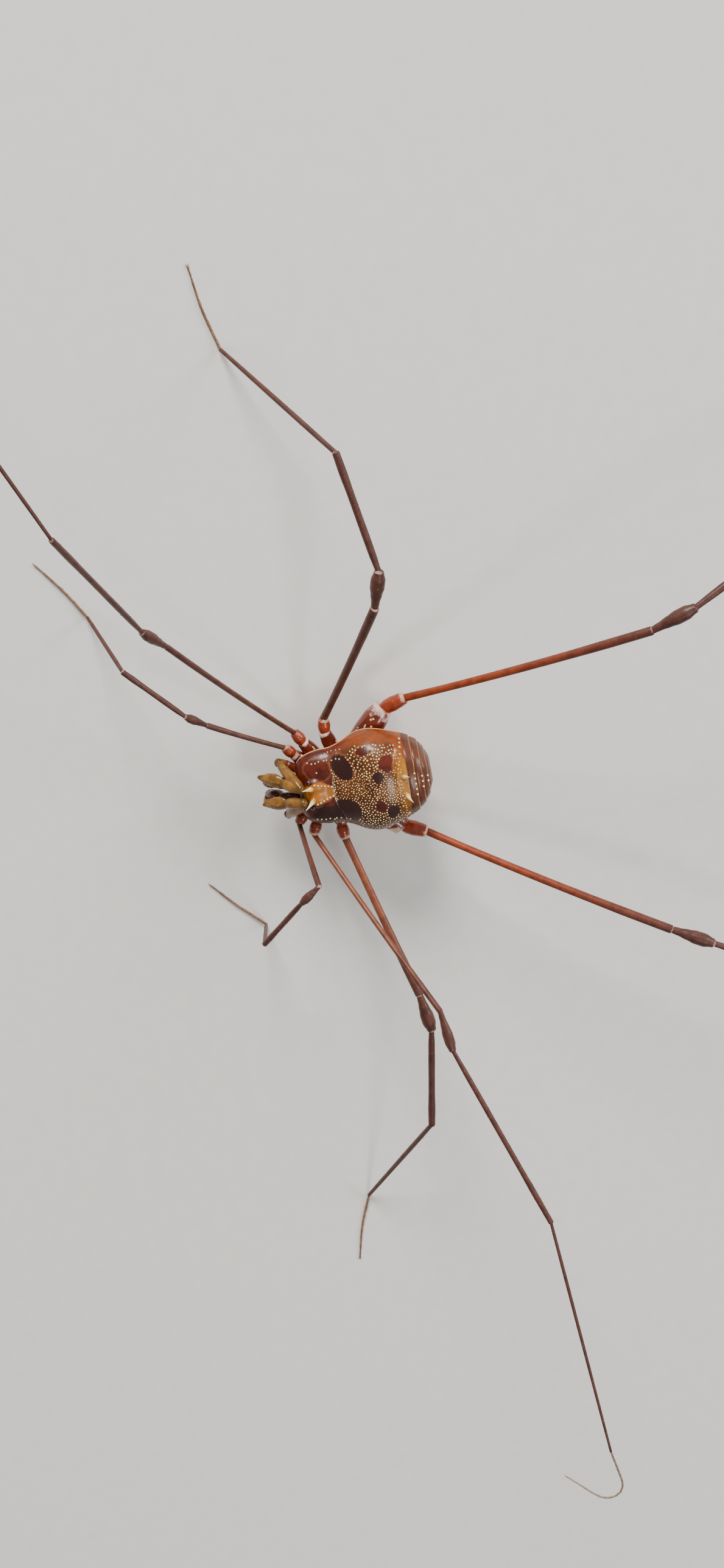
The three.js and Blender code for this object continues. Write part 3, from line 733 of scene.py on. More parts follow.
def outline_table(stations):
    """The smooth outline as fine columns of distance back, half width and level."""
    points = np.array(stations, float)
    padded = np.vstack([2 * points[0] - points[1], points, 2 * points[-1] - points[-2]])
    rows = []
    for step in range(len(points) - 1):
        a, b, c, d = padded[step:step + 4]
        for share in np.linspace(0, 1, OUTLINE_STEPS, endpoint=False):
            rows.append(0.5 * (2 * b + (c - a) * share + (2 * a - 5 * b + 4 * c - d) * share ** 2
                               + (3 * b - a - 3 * c + d) * share ** 3))
    rows.append(points[-1])
    return np.array(rows)


SHIELD_TABLE = outline_table(SHIELD_OUTLINE)
BELLY_TABLE = outline_table(BELLY_OUTLINE)


def shield_half(y):
    return np.interp(y, SHIELD_TABLE[:, 0], SHIELD_TABLE[:, 1])


def shield_top(y):
    return np.interp(y, SHIELD_TABLE[:, 0], SHIELD_TABLE[:, 2])


def mound_level(x, y):
    """Height of the eye mound, with the saddle between its two ends."""
    reach = (x / MOUND["half_width"]) ** 2 + ((y - MOUND["y"]) / MOUND["half_length"]) ** 2
    dome = MOUND["level"] + MOUND["height"] * np.sqrt(np.clip(1 - reach, 0, 1))
    saddle = SADDLE["depth"] * np.exp(-(x / SADDLE["half_width"]) ** 2)
    return np.where(reach < 1, dome - saddle, NO_MOUND)


def soft_top(first, second, blend):
    """The higher of two levels, with a soft valley where they meet."""
    share = np.clip(0.5 + 0.5 * (first - second) / blend, 0, 1)
    return second * (1 - share) + first * share + blend * share * (1 - share)


def groove_line(x, y, groove):
    """1 in the middle of one bent groove, and 0 away from it."""
    back, bend, inner, outer = groove
    line = back + bend * (np.abs(x) / GROOVE_SPAN) ** 2
    within = (np.abs(x) >= inner) & (np.abs(x) <= outer)
    return np.where(within, np.exp(-((y - line) / GROOVE_WIDTH) ** 2), 0)


def groove_depth(x, y):
    """Shallow grooves between the shield's areas."""
    return GROOVE_DEPTH * np.max([groove_line(x, y, groove) for groove in GROOVES], axis=0)


def back_level(x, y):
    """Height of the shield's surface at a place on the back."""
    half = shield_half(y)
    share = np.clip(np.abs(x) / half, 0, 0.9999)
    arch = (1 - share ** SHIELD_ROUNDNESS) ** (1 / SHIELD_ROUNDNESS)
    level = SPLIT_LEVEL + (shield_top(y) - SPLIT_LEVEL) * arch
    grooves = groove_depth(x, y) * (share < GROOVE_REACH)
    return soft_top(mound_level(x, y), level, MOUND_BLEND) - grooves


def back_normal(x, y):
    step = 0.02
    slope_x = (back_level(x + step, y) - back_level(x - step, y)) / (2 * step)
    slope_y = (back_level(x, y + step) - back_level(x, y - step)) / (2 * step)
    return Vector((-float(slope_x), -float(slope_y), 1.0)).normalized()


def arch_ring(y, half, base, peak, steps, roundness, skin=None):
    """Points over the body from one side to the other, on an arch or on a given skin."""
    ring = []
    for step in range(steps + 1):
        angle = math.pi * step / steps
        across = math.copysign(abs(math.cos(angle)) ** (2 / roundness), math.cos(angle))
        lift = abs(math.sin(angle)) ** (2 / roundness)
        level = base + (peak - base) * lift
        if skin and abs(across) < ARCH_REACH:
            level = float(skin(half * across, y))
        ring.append((half * across, y, level))
    return ring


# Materials

def new_material(name):
    material = bpy.data.materials.new(name)
    material.use_nodes = True
    tree = material.node_tree
    shader = tree.nodes["Principled BSDF"]
    return material, tree, shader


def add(tree, kind, inputs=None, **settings):
    node = tree.nodes.new(kind)
    for key, value in settings.items():
        setattr(node, key, value)
    for key, value in (inputs or {}).items():
        if isinstance(value, bpy.types.NodeSocket):
            tree.links.new(value, node.inputs[key])
        else:
            node.inputs[key].default_value = value
    return node


def rgba(colour):
    return (*tuple(colour)[:3], 1.0)


def mix(tree, share, first, second, blend="MIX"):
    """One colour over another by a share from 0 to 1."""
    node = add(tree, "ShaderNodeMix", data_type="RGBA", blend_type=blend)
    for socket, value in (("Factor_Float", share), ("A_Color", first), ("B_Color", second)):
        target = next(item for item in node.inputs if item.identifier == socket)
        if isinstance(value, bpy.types.NodeSocket):
            tree.links.new(value, target)
        else:
            target.default_value = value if socket == "Factor_Float" else rgba(value)
    return next(item for item in node.outputs if item.identifier == "Result_Color")


def ramp(tree, value, low, high):
    """0 below low, 1 above high, smooth between."""
    node = add(tree, "ShaderNodeMapRange", {"Value": value, "From Min": low, "From Max": high},
               interpolation_type="SMOOTHSTEP")
    return node.outputs["Result"]


def darker(colour, share):
    return tuple(value * share for value in tuple(colour)[:3])


def blended(first, second, share):
    """A colour between two, with the given share of the second."""
    return tuple((1 - share) * a + share * b for a, b in zip(first, second))


def scaled(tree, value, share):
    return add(tree, "ShaderNodeMath", {0: value, 1: share}, operation="MULTIPLY").outputs[0]


def cloudy(tree, cloud, low, high, colour, share):
    """A colour that turns darker, down to a share of itself, where the clouds are thick."""
    return mix(tree, ramp(tree, cloud, low, high), colour, darker(colour, share))


def patches(tree, place, per_mm, low, high):
    """Large soft patches, for a membrane that is broken here and there."""
    noise = add(tree, "ShaderNodeTexNoise", {"Vector": place, "Scale": per_mm / MM,
                                             "Detail": 1.0})
    return ramp(tree, noise.outputs["Fac"], low, high)


def object_place(tree):
    return add(tree, "ShaderNodeTexCoord").outputs["Object"]


def attribute(tree, name):
    return add(tree, "ShaderNodeAttribute", attribute_name=name).outputs["Fac"]


def new_group(name, inputs, outputs):
    group = bpy.data.node_groups.new(name, "ShaderNodeTree")
    for label, kind, value in inputs:
        socket = group.interface.new_socket(name=label, in_out="INPUT", socket_type=kind)
        if value is not None:
            socket.default_value = value
    for label, kind in outputs:
        group.interface.new_socket(name=label, in_out="OUTPUT", socket_type=kind)
    return group, add(group, "NodeGroupInput"), add(group, "NodeGroupOutput")


def chitin_group():
    """Fine grain of the shell: a height for bump, a colour share and a roughness."""
    name = "Chitin grain"
    if name in bpy.data.node_groups:
        return bpy.data.node_groups[name]
    group, given, result = new_group(
        name,
        [("Place", "NodeSocketVector", None), ("Pits per mm", "NodeSocketFloat", 14.0),
         ("Cloud per mm", "NodeSocketFloat", 1.6)],
        [("Height", "NodeSocketFloat"), ("Cloud", "NodeSocketFloat"),
         ("Roughness shift", "NodeSocketFloat")],
    )
    pits_scale = add(group, "ShaderNodeMath", {0: given.outputs["Pits per mm"], 1: 1 / MM},
                     operation="MULTIPLY")
    cloud_scale = add(group, "ShaderNodeMath", {0: given.outputs["Cloud per mm"], 1: 1 / MM},
                      operation="MULTIPLY")
    pits = add(group, "ShaderNodeTexVoronoi", {"Vector": given.outputs["Place"],
                                               "Scale": pits_scale.outputs[0]})
    cloud = add(group, "ShaderNodeTexNoise", {"Vector": given.outputs["Place"],
                                              "Scale": cloud_scale.outputs[0], "Detail": 5.0,
                                              "Roughness": 0.6})
    fine = add(group, "ShaderNodeTexNoise", {"Vector": given.outputs["Place"],
                                             "Scale": pits_scale.outputs[0], "Detail": 2.0})
    height = add(group, "ShaderNodeMath", {0: pits.outputs["Distance"], 1: fine.outputs["Fac"]},
                 operation="ADD")
    shift = add(group, "ShaderNodeMath", {0: fine.outputs["Fac"], 1: -0.5}, operation="ADD")
    group.links.new(height.outputs[0], result.inputs["Height"])
    group.links.new(cloud.outputs["Fac"], result.inputs["Cloud"])
    group.links.new(shift.outputs[0], result.inputs["Roughness shift"])
    return group


def mark_group():
    """A soft-edged oval mark on the back, with a ragged edge."""
    name = "Shell mark"
    if name in bpy.data.node_groups:
        return bpy.data.node_groups[name]
    group, given, result = new_group(
        name,
        [("Place", "NodeSocketVector", None), ("Centre", "NodeSocketVector", None),
         ("Turn", "NodeSocketVector", None), ("Half sizes", "NodeSocketVector", None),
         ("Ragged", "NodeSocketFloat", 0.3)],
        [("Mask", "NodeSocketFloat")],
    )
    moved = add(group, "ShaderNodeMapping", {"Vector": given.outputs["Place"],
                                             "Location": given.outputs["Centre"],
                                             "Rotation": given.outputs["Turn"],
                                             "Scale": given.outputs["Half sizes"]},
                vector_type="TEXTURE")
    flat = add(group, "ShaderNodeVectorMath", {0: moved.outputs[0], 1: (1.0, 1.0, 0.0)},
               operation="MULTIPLY")
    reach = add(group, "ShaderNodeVectorMath", {0: flat.outputs[0]}, operation="LENGTH")
    rough = add(group, "ShaderNodeTexNoise", {"Vector": given.outputs["Place"],
                                              "Scale": 2.4 / MM, "Detail": 3.0})
    centred = add(group, "ShaderNodeMath", {0: rough.outputs["Fac"], 1: -0.5}, operation="ADD")
    ragged = add(group, "ShaderNodeMath", {0: centred.outputs[0], 1: given.outputs["Ragged"]},
                 operation="MULTIPLY")
    edge = add(group, "ShaderNodeMath", {0: reach.outputs["Value"], 1: ragged.outputs[0]},
               operation="ADD")
    mask = add(group, "ShaderNodeMapRange", {"Value": edge.outputs[0], "From Min": 1.08,
                                             "From Max": 0.9}, interpolation_type="SMOOTHSTEP")
    group.links.new(mask.outputs["Result"], result.inputs["Mask"])
    return group


def chitin(tree, shader, place, roughness, bump=0.25, pits=14.0, depth=0.012):
    """Adds the shell's grain to a shader and gives back its cloudy colour share."""
    grain = add(tree, "ShaderNodeGroup", node_tree=chitin_group())
    tree.links.new(place, grain.inputs["Place"])
    grain.inputs["Pits per mm"].default_value = pits
    relief = add(tree, "ShaderNodeBump", {"Height": grain.outputs["Height"], "Strength": bump,
                                          "Distance": depth * MM})
    tree.links.new(relief.outputs["Normal"], shader.inputs["Normal"])
    shifted = add(tree, "ShaderNodeMath", {0: grain.outputs["Roughness shift"], 1: 0.25,
                                           2: roughness}, operation="MULTIPLY_ADD")
    tree.links.new(shifted.outputs[0], shader.inputs["Roughness"])
    shader.inputs["Coat Roughness"].default_value = 0.2
    shader.inputs["Specular IOR Level"].default_value = 0.35
    return grain.outputs["Cloud"]


def mark_mask(tree, place, mark, ragged=0.35):
    """The share of one oval mark, placed in the frame from its millimetres."""
    x, y, half_x, half_y, turn = mark
    centre = TO_FRAME @ Vector((x, y, 0))
    node = add(tree, "ShaderNodeGroup", node_tree=mark_group())
    tree.links.new(place, node.inputs["Place"])
    node.inputs["Centre"].default_value = (centre.x, centre.y, 0.0)
    node.inputs["Turn"].default_value = (0.0, 0.0, math.radians(turn))
    node.inputs["Half sizes"].default_value = (half_x * MM, half_y * MM, MM)
    node.inputs["Ragged"].default_value = ragged
    return node.outputs["Mask"]


def mark_outline(tree, place, mark):
    """A faint thin line just outside an oval mark."""
    x, y, half_x, half_y, turn = mark
    inner, outer = (mark_mask(tree, place, (x, y, half_x + reach, half_y + reach, turn))
                    for reach in OUTLINE_REACH)
    ring = add(tree, "ShaderNodeMath", {0: outer, 1: inner}, operation="SUBTRACT")
    return scaled(tree, ring.outputs[0], OUTLINE_STRENGTH)


def shield_material():
    """Cloudy golden brown with orange sides, red and dark marks and a yellow rear."""
    material, tree, shader = new_material("shield_chitin")
    palette = colours()
    place = object_place(tree)
    across = attribute(tree, "across")
    lengthwise = attribute(tree, "lengthwise")
    cloud = chitin(tree, shader, place, roughness=0.34, bump=0.3)

    # The middle, darker on the shaded side
    colour = cloudy(tree, cloud, 0.4, 0.62, palette.brown, 0.5)
    for mark in GOLD_MARKS:
        colour = mix(tree, scaled(tree, mark_mask(tree, place, mark, ragged=1.2), 0.45), colour,
                     palette.honey)
    shade = scaled(tree, ramp(tree, across, *SHADED_SIDE), 0.6)
    colour = mix(tree, shade, colour, darker(palette.brown, 0.35))

    # The band along the sides: red in front, orange behind
    edge = cloudy(tree, cloud, 0.35, 0.7, palette.orange, 0.7)
    edge = mix(tree, ramp(tree, lengthwise, *RED_BAND), palette.red, edge)
    # Painted shade: the edge band is darker on the left side
    edge = mix(tree, ramp(tree, across, *SHADED_BAND), darker(palette.orange, 0.4), edge)
    width = add(tree, "ShaderNodeMath", {0: across}, operation="ABSOLUTE")
    colour = mix(tree, ramp(tree, width.outputs[0], *ORANGE_BAND), colour, edge)

    # The front, the grooves and the marks
    front = cloudy(tree, cloud, 0.4, 0.65, palette.red, 0.6)
    colour = mix(tree, ramp(tree, lengthwise, *RED_FRONT), colour, front)
    pale = blended(palette.cream, palette.brown, 0.65)
    colour = mix(tree, scaled(tree, attribute(tree, "groove"), 0.3), colour, pale)
    red = cloudy(tree, cloud, 0.4, 0.6, palette.red, 0.55)
    for mark in RED_MARKS:
        colour = mix(tree, mark_mask(tree, place, mark), colour, red)
    for mark in DARK_MARKS:
        colour = mix(tree, mark_mask(tree, place, mark), colour, palette.dark)
    for mark in OUTLINED_MARKS:
        colour = mix(tree, mark_outline(tree, place, mark), colour, palette.rim)

    # The rear with its yellow bands, and the golden eye mound
    colour = mix(tree, ramp(tree, lengthwise, *REAR_EDGE), colour, edge)
    for strength, mark in REAR_BANDS:
        band = mark_mask(tree, place, mark, ragged=0.9)
        colour = mix(tree, scaled(tree, band, strength), colour, palette.yellow)
    colour = mix(tree, mark_mask(tree, place, MOUND_MARK, ragged=0.4), colour, palette.gold)
    tree.links.new(colour, shader.inputs["Base Color"])
    shader.inputs["Coat Weight"].default_value = 0.12
    return material


def cream_material(name, roughness=0.35):
    """Cream chitin of granules, spines and rim, tinged with the shell's gold at its foot."""
    material, tree, shader = new_material(name)
    palette = colours()
    cloud = chitin(tree, shader, object_place(tree), roughness, bump=0.1)
    colour = cloudy(tree, cloud, 0.3, 0.8, palette.cream, 0.8)
    if name == "granule_cream":
        colour = mix(tree, ramp(tree, cloud, 0.4, 0.75), colour, palette.rim)
    if name == "spine_cream":
        colour = mix(tree, ramp(tree, attribute(tree, "along"), 0.55, 0.25), colour, palette.gold)
    tree.links.new(colour, shader.inputs["Base Color"])
    return material


def banded_material(name, base, edge, value_name, low, high, roughness=0.4, coat=0.2, dark=0.55):
    """Chitin in one cloudy colour that turns to another along an attribute."""
    material, tree, shader = new_material(name)
    cloud = chitin(tree, shader, object_place(tree), roughness)
    colour = cloudy(tree, cloud, 0.35, 0.7, base, dark)
    colour = mix(tree, ramp(tree, attribute(tree, value_name), low, high), colour, edge)
    tree.links.new(colour, shader.inputs["Base Color"])
    shader.inputs["Coat Weight"].default_value = coat
    return material


def leg_material(name, near):
    """One brown near the body and purple brown farther out, with a thin pale rim at joints."""
    material, tree, shader = new_material(name)
    palette = colours()
    place = object_place(tree)
    cloud = chitin(tree, shader, place, roughness=0.46, bump=0.4, pits=16.0)
    colour = mix(tree, ramp(tree, attribute(tree, "outward"), 0.2, 0.36), near, palette.leg_far)
    colour = mix(tree, ramp(tree, cloud, 0.38, 0.7), colour, LEG_SHADE, blend="MULTIPLY")
    ragged = add(tree, "ShaderNodeMath", {0: cloud, 1: 0.3, 2: attribute(tree, "to_end")},
                 operation="MULTIPLY_ADD")
    rim = ramp(tree, ragged.outputs[0], 0.13, 0.07)
    broken = add(tree, "ShaderNodeMath", {0: rim, 1: patches(tree, place, 1.3, 0.4, 0.6)},
                 operation="MULTIPLY")
    colour = mix(tree, scaled(tree, broken.outputs[0], 0.6), colour, palette.membrane)
    tree.links.new(colour, shader.inputs["Base Color"])
    shader.inputs["Coat Weight"].default_value = 0.05
    return material


def joint_material(name, base, pale, width, broken):
    """Chitin that ends in a pale, ragged membrane at its far joint."""
    material, tree, shader = new_material(name)
    place = object_place(tree)
    cloud = chitin(tree, shader, place, roughness=0.3, bump=0.35)
    colour = cloudy(tree, cloud, 0.38, 0.68, base, 0.6)
    ragged = add(tree, "ShaderNodeMath", {0: cloud, 1: 0.6, 2: attribute(tree, "to_end")},
                 operation="MULTIPLY_ADD")
    edge = ramp(tree, ragged.outputs[0], width + 0.34, width + 0.26)
    whole = patches(tree, place, 1.1, broken - 0.06, broken + 0.06)
    share = add(tree, "ShaderNodeMath", {0: edge, 1: whole}, operation="MULTIPLY")
    colour = mix(tree, share.outputs[0], colour, pale)
    tree.links.new(colour, shader.inputs["Base Color"])
    shader.inputs["Coat Weight"].default_value = 0.4
    shader.inputs["Coat Roughness"].default_value = 0.1
    return material


def jaw_material():
    """Glossy dark red brown."""
    material, tree, shader = new_material("jaw_chitin")
    cloud = chitin(tree, shader, object_place(tree), roughness=0.28, bump=0.12)
    tree.links.new(cloudy(tree, cloud, 0.35, 0.7, colours().jaw, 0.45),
                   shader.inputs["Base Color"])
    shader.inputs["Coat Weight"].default_value = 0.35
    return material


def palp_material():
    """Glossy golden olive, with painted shade that darkens it towards each segment's ends."""
    material, tree, shader = new_material("palp_chitin")
    palp = colours().palp
    along = attribute(tree, "along")
    cloud = chitin(tree, shader, object_place(tree), roughness=0.18, bump=0.08)
    colour = cloudy(tree, cloud, 0.35, 0.65, palp, 0.5)
    # Painted shade at the near and far end of each segment
    colour = mix(tree, scaled(tree, ramp(tree, along, 0.3, 0.0), 0.7), colour, darker(palp, 0.35))
    colour = mix(tree, scaled(tree, ramp(tree, along, 0.82, 1.0), 0.75), colour, darker(palp, 0.3))
    tree.links.new(colour, shader.inputs["Base Color"])
    shader.inputs["Specular IOR Level"].default_value = 0.22
    shader.inputs["Coat Weight"].default_value = 0.1
    shader.inputs["Coat Roughness"].default_value = 0.05
    return material


def plain_material(name, base):
    """Small parts in one colour that varies a little from place to place."""
    material, tree, shader = new_material(name)
    tone = add(tree, "ShaderNodeTexNoise", {"Vector": object_place(tree), "Scale": 0.6 / MM})
    tree.links.new(cloudy(tree, tone.outputs["Fac"], 0.4, 0.6, base, 0.5),
                   shader.inputs["Base Color"])
    shader.inputs["Roughness"].default_value = 0.45
    return material


def eye_material():
    """Deep glossy black with a painted brown glow in places."""
    material, tree, shader = new_material("eye_lens")
    deep = add(tree, "ShaderNodeTexNoise", {"Vector": object_place(tree), "Scale": 3.0 / MM})
    # Painted glow: dim brown patches deep in the black lens
    colour = mix(tree, ramp(tree, deep.outputs["Fac"], 0.4, 0.7), EYE_BLACK, EYE_PAINTED_GLOW)
    tree.links.new(colour, shader.inputs["Base Color"])
    shader.inputs["Roughness"].default_value = 0.05
    shader.inputs["Coat Weight"].default_value = 1.0
    return material


def floor_material():
    """Matt pale studio floor with a fine speck."""
    material, tree, shader = new_material("studio_floor")
    speck = add(tree, "ShaderNodeTexNoise", {"Vector": object_place(tree), "Scale": 900.0,
                                             "Detail": 3.0})
    tree.links.new(cloudy(tree, speck.outputs["Fac"], 0.3, 0.7, colours().floor, 0.97),
                   shader.inputs["Base Color"])
    shader.inputs["Roughness"].default_value = 0.9
    return material


# Pieces of the body

def build_shield():
    """The dorsal shield with its eye mound and grooves."""
    rings = []
    for y in np.linspace(FRONT_PLANE, TERGITE_PLANE, SHIELD_ROWS):
        ring = arch_ring(y, float(shield_half(y)), SPLIT_LEVEL + SIDE_LIFT, float(shield_top(y)),
                         SHIELD_COLUMNS, SHIELD_ROUNDNESS, back_level)
        first, last = ring[0], ring[-1]
        ring.append((last[0] + SIDE_TUCK, y, SPLIT_LEVEL))
        ring.append((first[0] - SIDE_TUCK, y, SPLIT_LEVEL))
        rings.append(ring)
    shield = lofted("shield_shell", rings)
    points = coordinates(shield)
    x, y = points[:, 0], points[:, 1]
    set_values(shield, "across", -x / shield_half(y))
    set_values(shield, "lengthwise", y)
    set_values(shield, "groove", groove_line(x, y, GROOVES[0]))
    settle(shield, shield_material(), ["dorsal_shield"], 40)


def build_rim():
    """The pale ridge along each side of the shield, as one swept tube each."""
    radius = sizes().rim / MM
    tubes = []
    for side in SIDES.values():
        path = [Vector((side * (float(shield_half(y)) - 0.01), y, SPLIT_LEVEL + RIM_LEVEL))
                for y in np.linspace(RIM_FRONT, TERGITE_PLANE - 0.04, RIM_STEPS)]
        rings = []
        for place, point in enumerate(path):
            ahead = path[min(place + 1, len(path) - 1)] - path[max(place - 1, 0)]
            tangent = ahead.normalized()
            across = tangent.cross(Vector((0, 0, 1))).normalized()
            over = across.cross(tangent)
            from_end = min(place, len(path) - 1 - place)
            taper = min(1.0, RIM_TAPER + RIM_TAPER * from_end)
            rings.append([tuple(point + radius * taper * (math.cos(angle) * across
                                                          + math.sin(angle) * over))
                          for angle in np.linspace(0, 2 * math.pi, RIM_FACETS, endpoint=False)])
        tubes.append(lofted("rim", rings))
    palette = colours()
    rim = joined("shield_rim", tubes)
    # Painted shade: the rim is darkest on the left side and full tan on the right
    set_values(rim, "right", -coordinates(rim)[:, 0])
    settle(rim, banded_material("rim_tan", darker(palette.rim, 0.35), palette.rim,
                                          "right", -1.0, 1.0, dark=0.8))


def spine_piece(spine, side, length):
    """A tapering, slightly hooked spine with its root sunk in the shell."""
    foot, lean, radius, bow = spine
    foot = on_side(foot, side)
    direction = on_side(lean, side).normalized()
    radii = [radius * share for share in SPINE_TAPER]
    return turned_limb("spine", foot - direction * SPINE_ROOT, foot + direction * length, radii,
                       rings=12, bow=bow, over=(0, -1, 0.3))


def build_spines():
    """Two spines on the eye mound and two on the rear of the shield."""
    size = sizes()
    spines = []
    for side in SIDES.values():
        spines.append(spine_piece(MOUND_SPINE, side, size.mound_spine / MM))
        spines.append(spine_piece(REAR_SPINE, side, size.rear_spine / MM))
    settle(joined("back_spines", spines), cream_material("spine_cream", 0.25))


def inside_marks(x, y):
    for centre_x, centre_y, half_x, half_y, turn in DARK_MARKS + RED_MARKS:
        angle = math.radians(turn)
        along = (x - centre_x) * math.cos(angle) + (y - centre_y) * math.sin(angle)
        across = -(x - centre_x) * math.sin(angle) + (y - centre_y) * math.cos(angle)
        if (along / half_x) ** 2 + (across / half_y) ** 2 < 1:
            return True
    return False


def granulate_share(y):
    """How far the granules reach towards the sides, as a share of the half width."""
    return FRONT_REACH + WAIST_GAIN * clamped((y - WAIST_START) / WAIST_LENGTH)


def granule_places(chance):
    """Places of the granules: scattered over the middle, in rows along the front."""
    gap = sizes().granule_gap / MM
    places = []

    def keep(x, y, size, least):
        if all((x - a) ** 2 + (y - b) ** 2 > least ** 2 for a, b, _ in places):
            places.append((x, y, size))

    def varied(reach):
        return chance.uniform(-reach, reach) if reach else 0.0

    for count, start, run, vary, size, least in GRANULE_ROWS:
        for place in range(count):
            share = place / (count - 1)
            for side in SIDES.values():
                x = side * (start[0] + run[0] * share + varied(vary[0]))
                keep(x, start[1] + run[1] * share + varied(vary[1]), size, least)
    for x, y, size in SINGLE_GRANULES:
        keep(x, y, size, SINGLE_GAP)
    for side in SIDES.values():
        for x, y in REAR_GRANULES:
            keep(side * x, y, REAR_GRANULE_SIZE, SINGLE_GAP)
    for _ in range(SCATTER_TRIES):
        x = chance.uniform(-SCATTER_HALF, SCATTER_HALF)
        y = chance.uniform(*SCATTER_BACK)
        if abs(x) / float(shield_half(y)) > granulate_share(y) or inside_marks(x, y):
            continue
        if y > SPARSE_BACK and chance.random() < SPARSE_SHARE:
            continue
        middle = abs(x - MIDDLE_CENTRE) < MIDDLE_HALF
        size = chance.uniform(*(MIDDLE_SIZES if middle else OUTER_SIZES))
        size *= LEFT_SIZE if x > LEFT_FROM else 1.0
        keep(x, y, size, gap * chance.uniform(*GAP_RANGE) * (1.0 if middle else OUTER_GAP))
    count, half, back, band_sizes, least = BAND_GRANULES
    for _ in range(count):
        keep(chance.uniform(-half, half), chance.uniform(*back), chance.uniform(*band_sizes),
             least)
    return places


def beads(name, items):
    """Many low-faced beads in one mesh. An item is centre, normal and radius."""
    clear_selection()
    bpy.ops.mesh.primitive_uv_sphere_add(segments=8, ring_count=5, radius=1.0)
    model = bpy.context.active_object
    edit_all(model, lambda: bpy.ops.transform.resize(value=(1.0, 1.0, BEAD_FLATNESS)))
    shape = coordinates(model)
    faces = [tuple(face.vertices) for face in model.data.polygons]
    bpy.data.objects.remove(model)
    points = []
    skins = []
    for centre, normal, radius in items:
        turn = np.array(Vector((0, 0, 1)).rotation_difference(Vector(normal)).to_matrix())
        start = len(points)
        points.extend((shape * radius) @ turn.T + np.array(centre))
        skins.extend(tuple(start + corner for corner in face) for face in faces)
    return mesh_piece(name, points, skins)


def build_granules():
    """The pale granules of the back."""
    chance = random.Random(SEED)
    radius = sizes().granule / MM
    items = []
    for x, y, size in granule_places(chance):
        normal = back_normal(x, y)
        centre = Vector((x, y, float(back_level(x, y)))) + normal * radius * size * BEAD_RISE
        items.append((centre, normal, radius * size))
    settle(beads("shield_granules", items), cream_material("granule_cream"))


def wave(x, plate):
    """How far the edge of a tergite wanders back at a place across it."""
    return sum(height * math.sin(turns * x + shift * plate)
               for height, turns, shift in TERGITE_WAVES)


def tergite_rings():
    """Rings over the tergites, and how pale each ring's points are."""
    rings = []
    shades = []
    for plate in range(len(TERGITE_EDGES) - 1):
        start, end = TERGITE_EDGES[plate], TERGITE_EDGES[plate + 1]
        for share, lift in TERGITE_PROFILE:
            y = start + (end - start) * share
            half, top = float(shield_half(y)) + lift, float(shield_top(y)) + lift
            ring = arch_ring(y, half, SPLIT_LEVEL + TERGITE_LIFT, top, TERGITE_COLUMNS,
                             SHIELD_ROUNDNESS)
            rings.append([(x, back + wave(x, plate), z) for x, back, z in ring])
            pale = max(0.0, (share - PALE_FROM) / PALE_LENGTH) if share < PALE_TO else PALE_FACE
            shades.extend([pale] * len(ring))
    shades.extend([0.0, 0.0])
    return rings, shades


def build_tergites():
    """Three free tergites and the anal plate, each with a raised pale rear edge."""
    palette = colours()
    rings, shades = tergite_rings()
    tergites = lofted("tergite_shell", rings)
    set_values(tergites, "edge", shades)
    settle(tergites, banded_material("tergite_chitin", palette.tergite, palette.tan,
                                                 "edge", 0.1, 1.0), ["free_tergites"], 50)
    items = []
    for back, count in TERGITE_TUBERCLES:
        level = float(shield_top(back)) + TUBERCLE_LEVEL
        for place in range(count):
            x = (place - (count - 1) / 2) * TUBERCLE_STEP
            items.append(((x, back, level), TUBERCLE_LEAN, TUBERCLE_RADIUS))
    settle(beads("tergite_tubercles", items), cream_material("tubercle_cream"))


def forget_shares(pieces):
    """Takes off what a limb keeps for its colours, before it joins a plain piece."""
    for piece in pieces:
        for name in ("to_end", "along", "outward"):
            piece.data.attributes.remove(piece.data.attributes[name])


def build_belly():
    """The belly with its sternites and the genital plate."""
    rings = []
    for share in np.linspace(0, 1, BELLY_ROWS):
        y, half, low = BELLY_TABLE[int(round(share * (len(BELLY_TABLE) - 1)))]
        furrow = sum(math.exp(-((y - line) / FURROW_WIDTH) ** 2) for line in STERNITES)
        rings.append(arch_ring(y, half - BELLY_INSET, SPLIT_LEVEL - BELLY_TOP_GAP,
                               low + FURROW_DEPTH * furrow, BELLY_COLUMNS, BELLY_ROUNDNESS))
    belly = lofted("belly", rings)
    back = coordinates(belly)[:, 1]
    set_values(belly, "edge", sum(np.exp(-((back - line) / FURROW_TINT_WIDTH) ** 2)
                                  for line in STERNITES))
    start, end, radii, flatness = PLATE
    plate = turned_limb("plate", start, end, radii, rings=8, flatness=flatness, facets=28)
    forget_shares([plate])
    set_values(plate, "edge", np.zeros(len(plate.data.vertices)))
    palette = colours()
    settle(joined("belly_shell", [belly, plate]),
           banded_material("belly_chitin", palette.trochanter, palette.tan, "edge", 0.2, 1.6,
                           dark=0.5), ["underside"], 40)


def coxa_tubercles(root, hip, girths, side, count, chance):
    """Pale tubercles set square to a coxa, on its outer and upper faces."""
    along = (hip - root).normalized()
    items = []
    for _ in range(count):
        share = chance.uniform(*COXA_SPAN)
        outward = on_side([chance.uniform(*way) for way in COXA_WAYS], side)
        outward = (outward - along * outward.dot(along)).normalized()
        middle = root.lerp(hip, share)
        items.append((middle + outward * smooth_value(girths, share) * TUBERCLE_SEAT, outward,
                      chance.uniform(*COXA_TUBERCLE_RADII)))
    return items


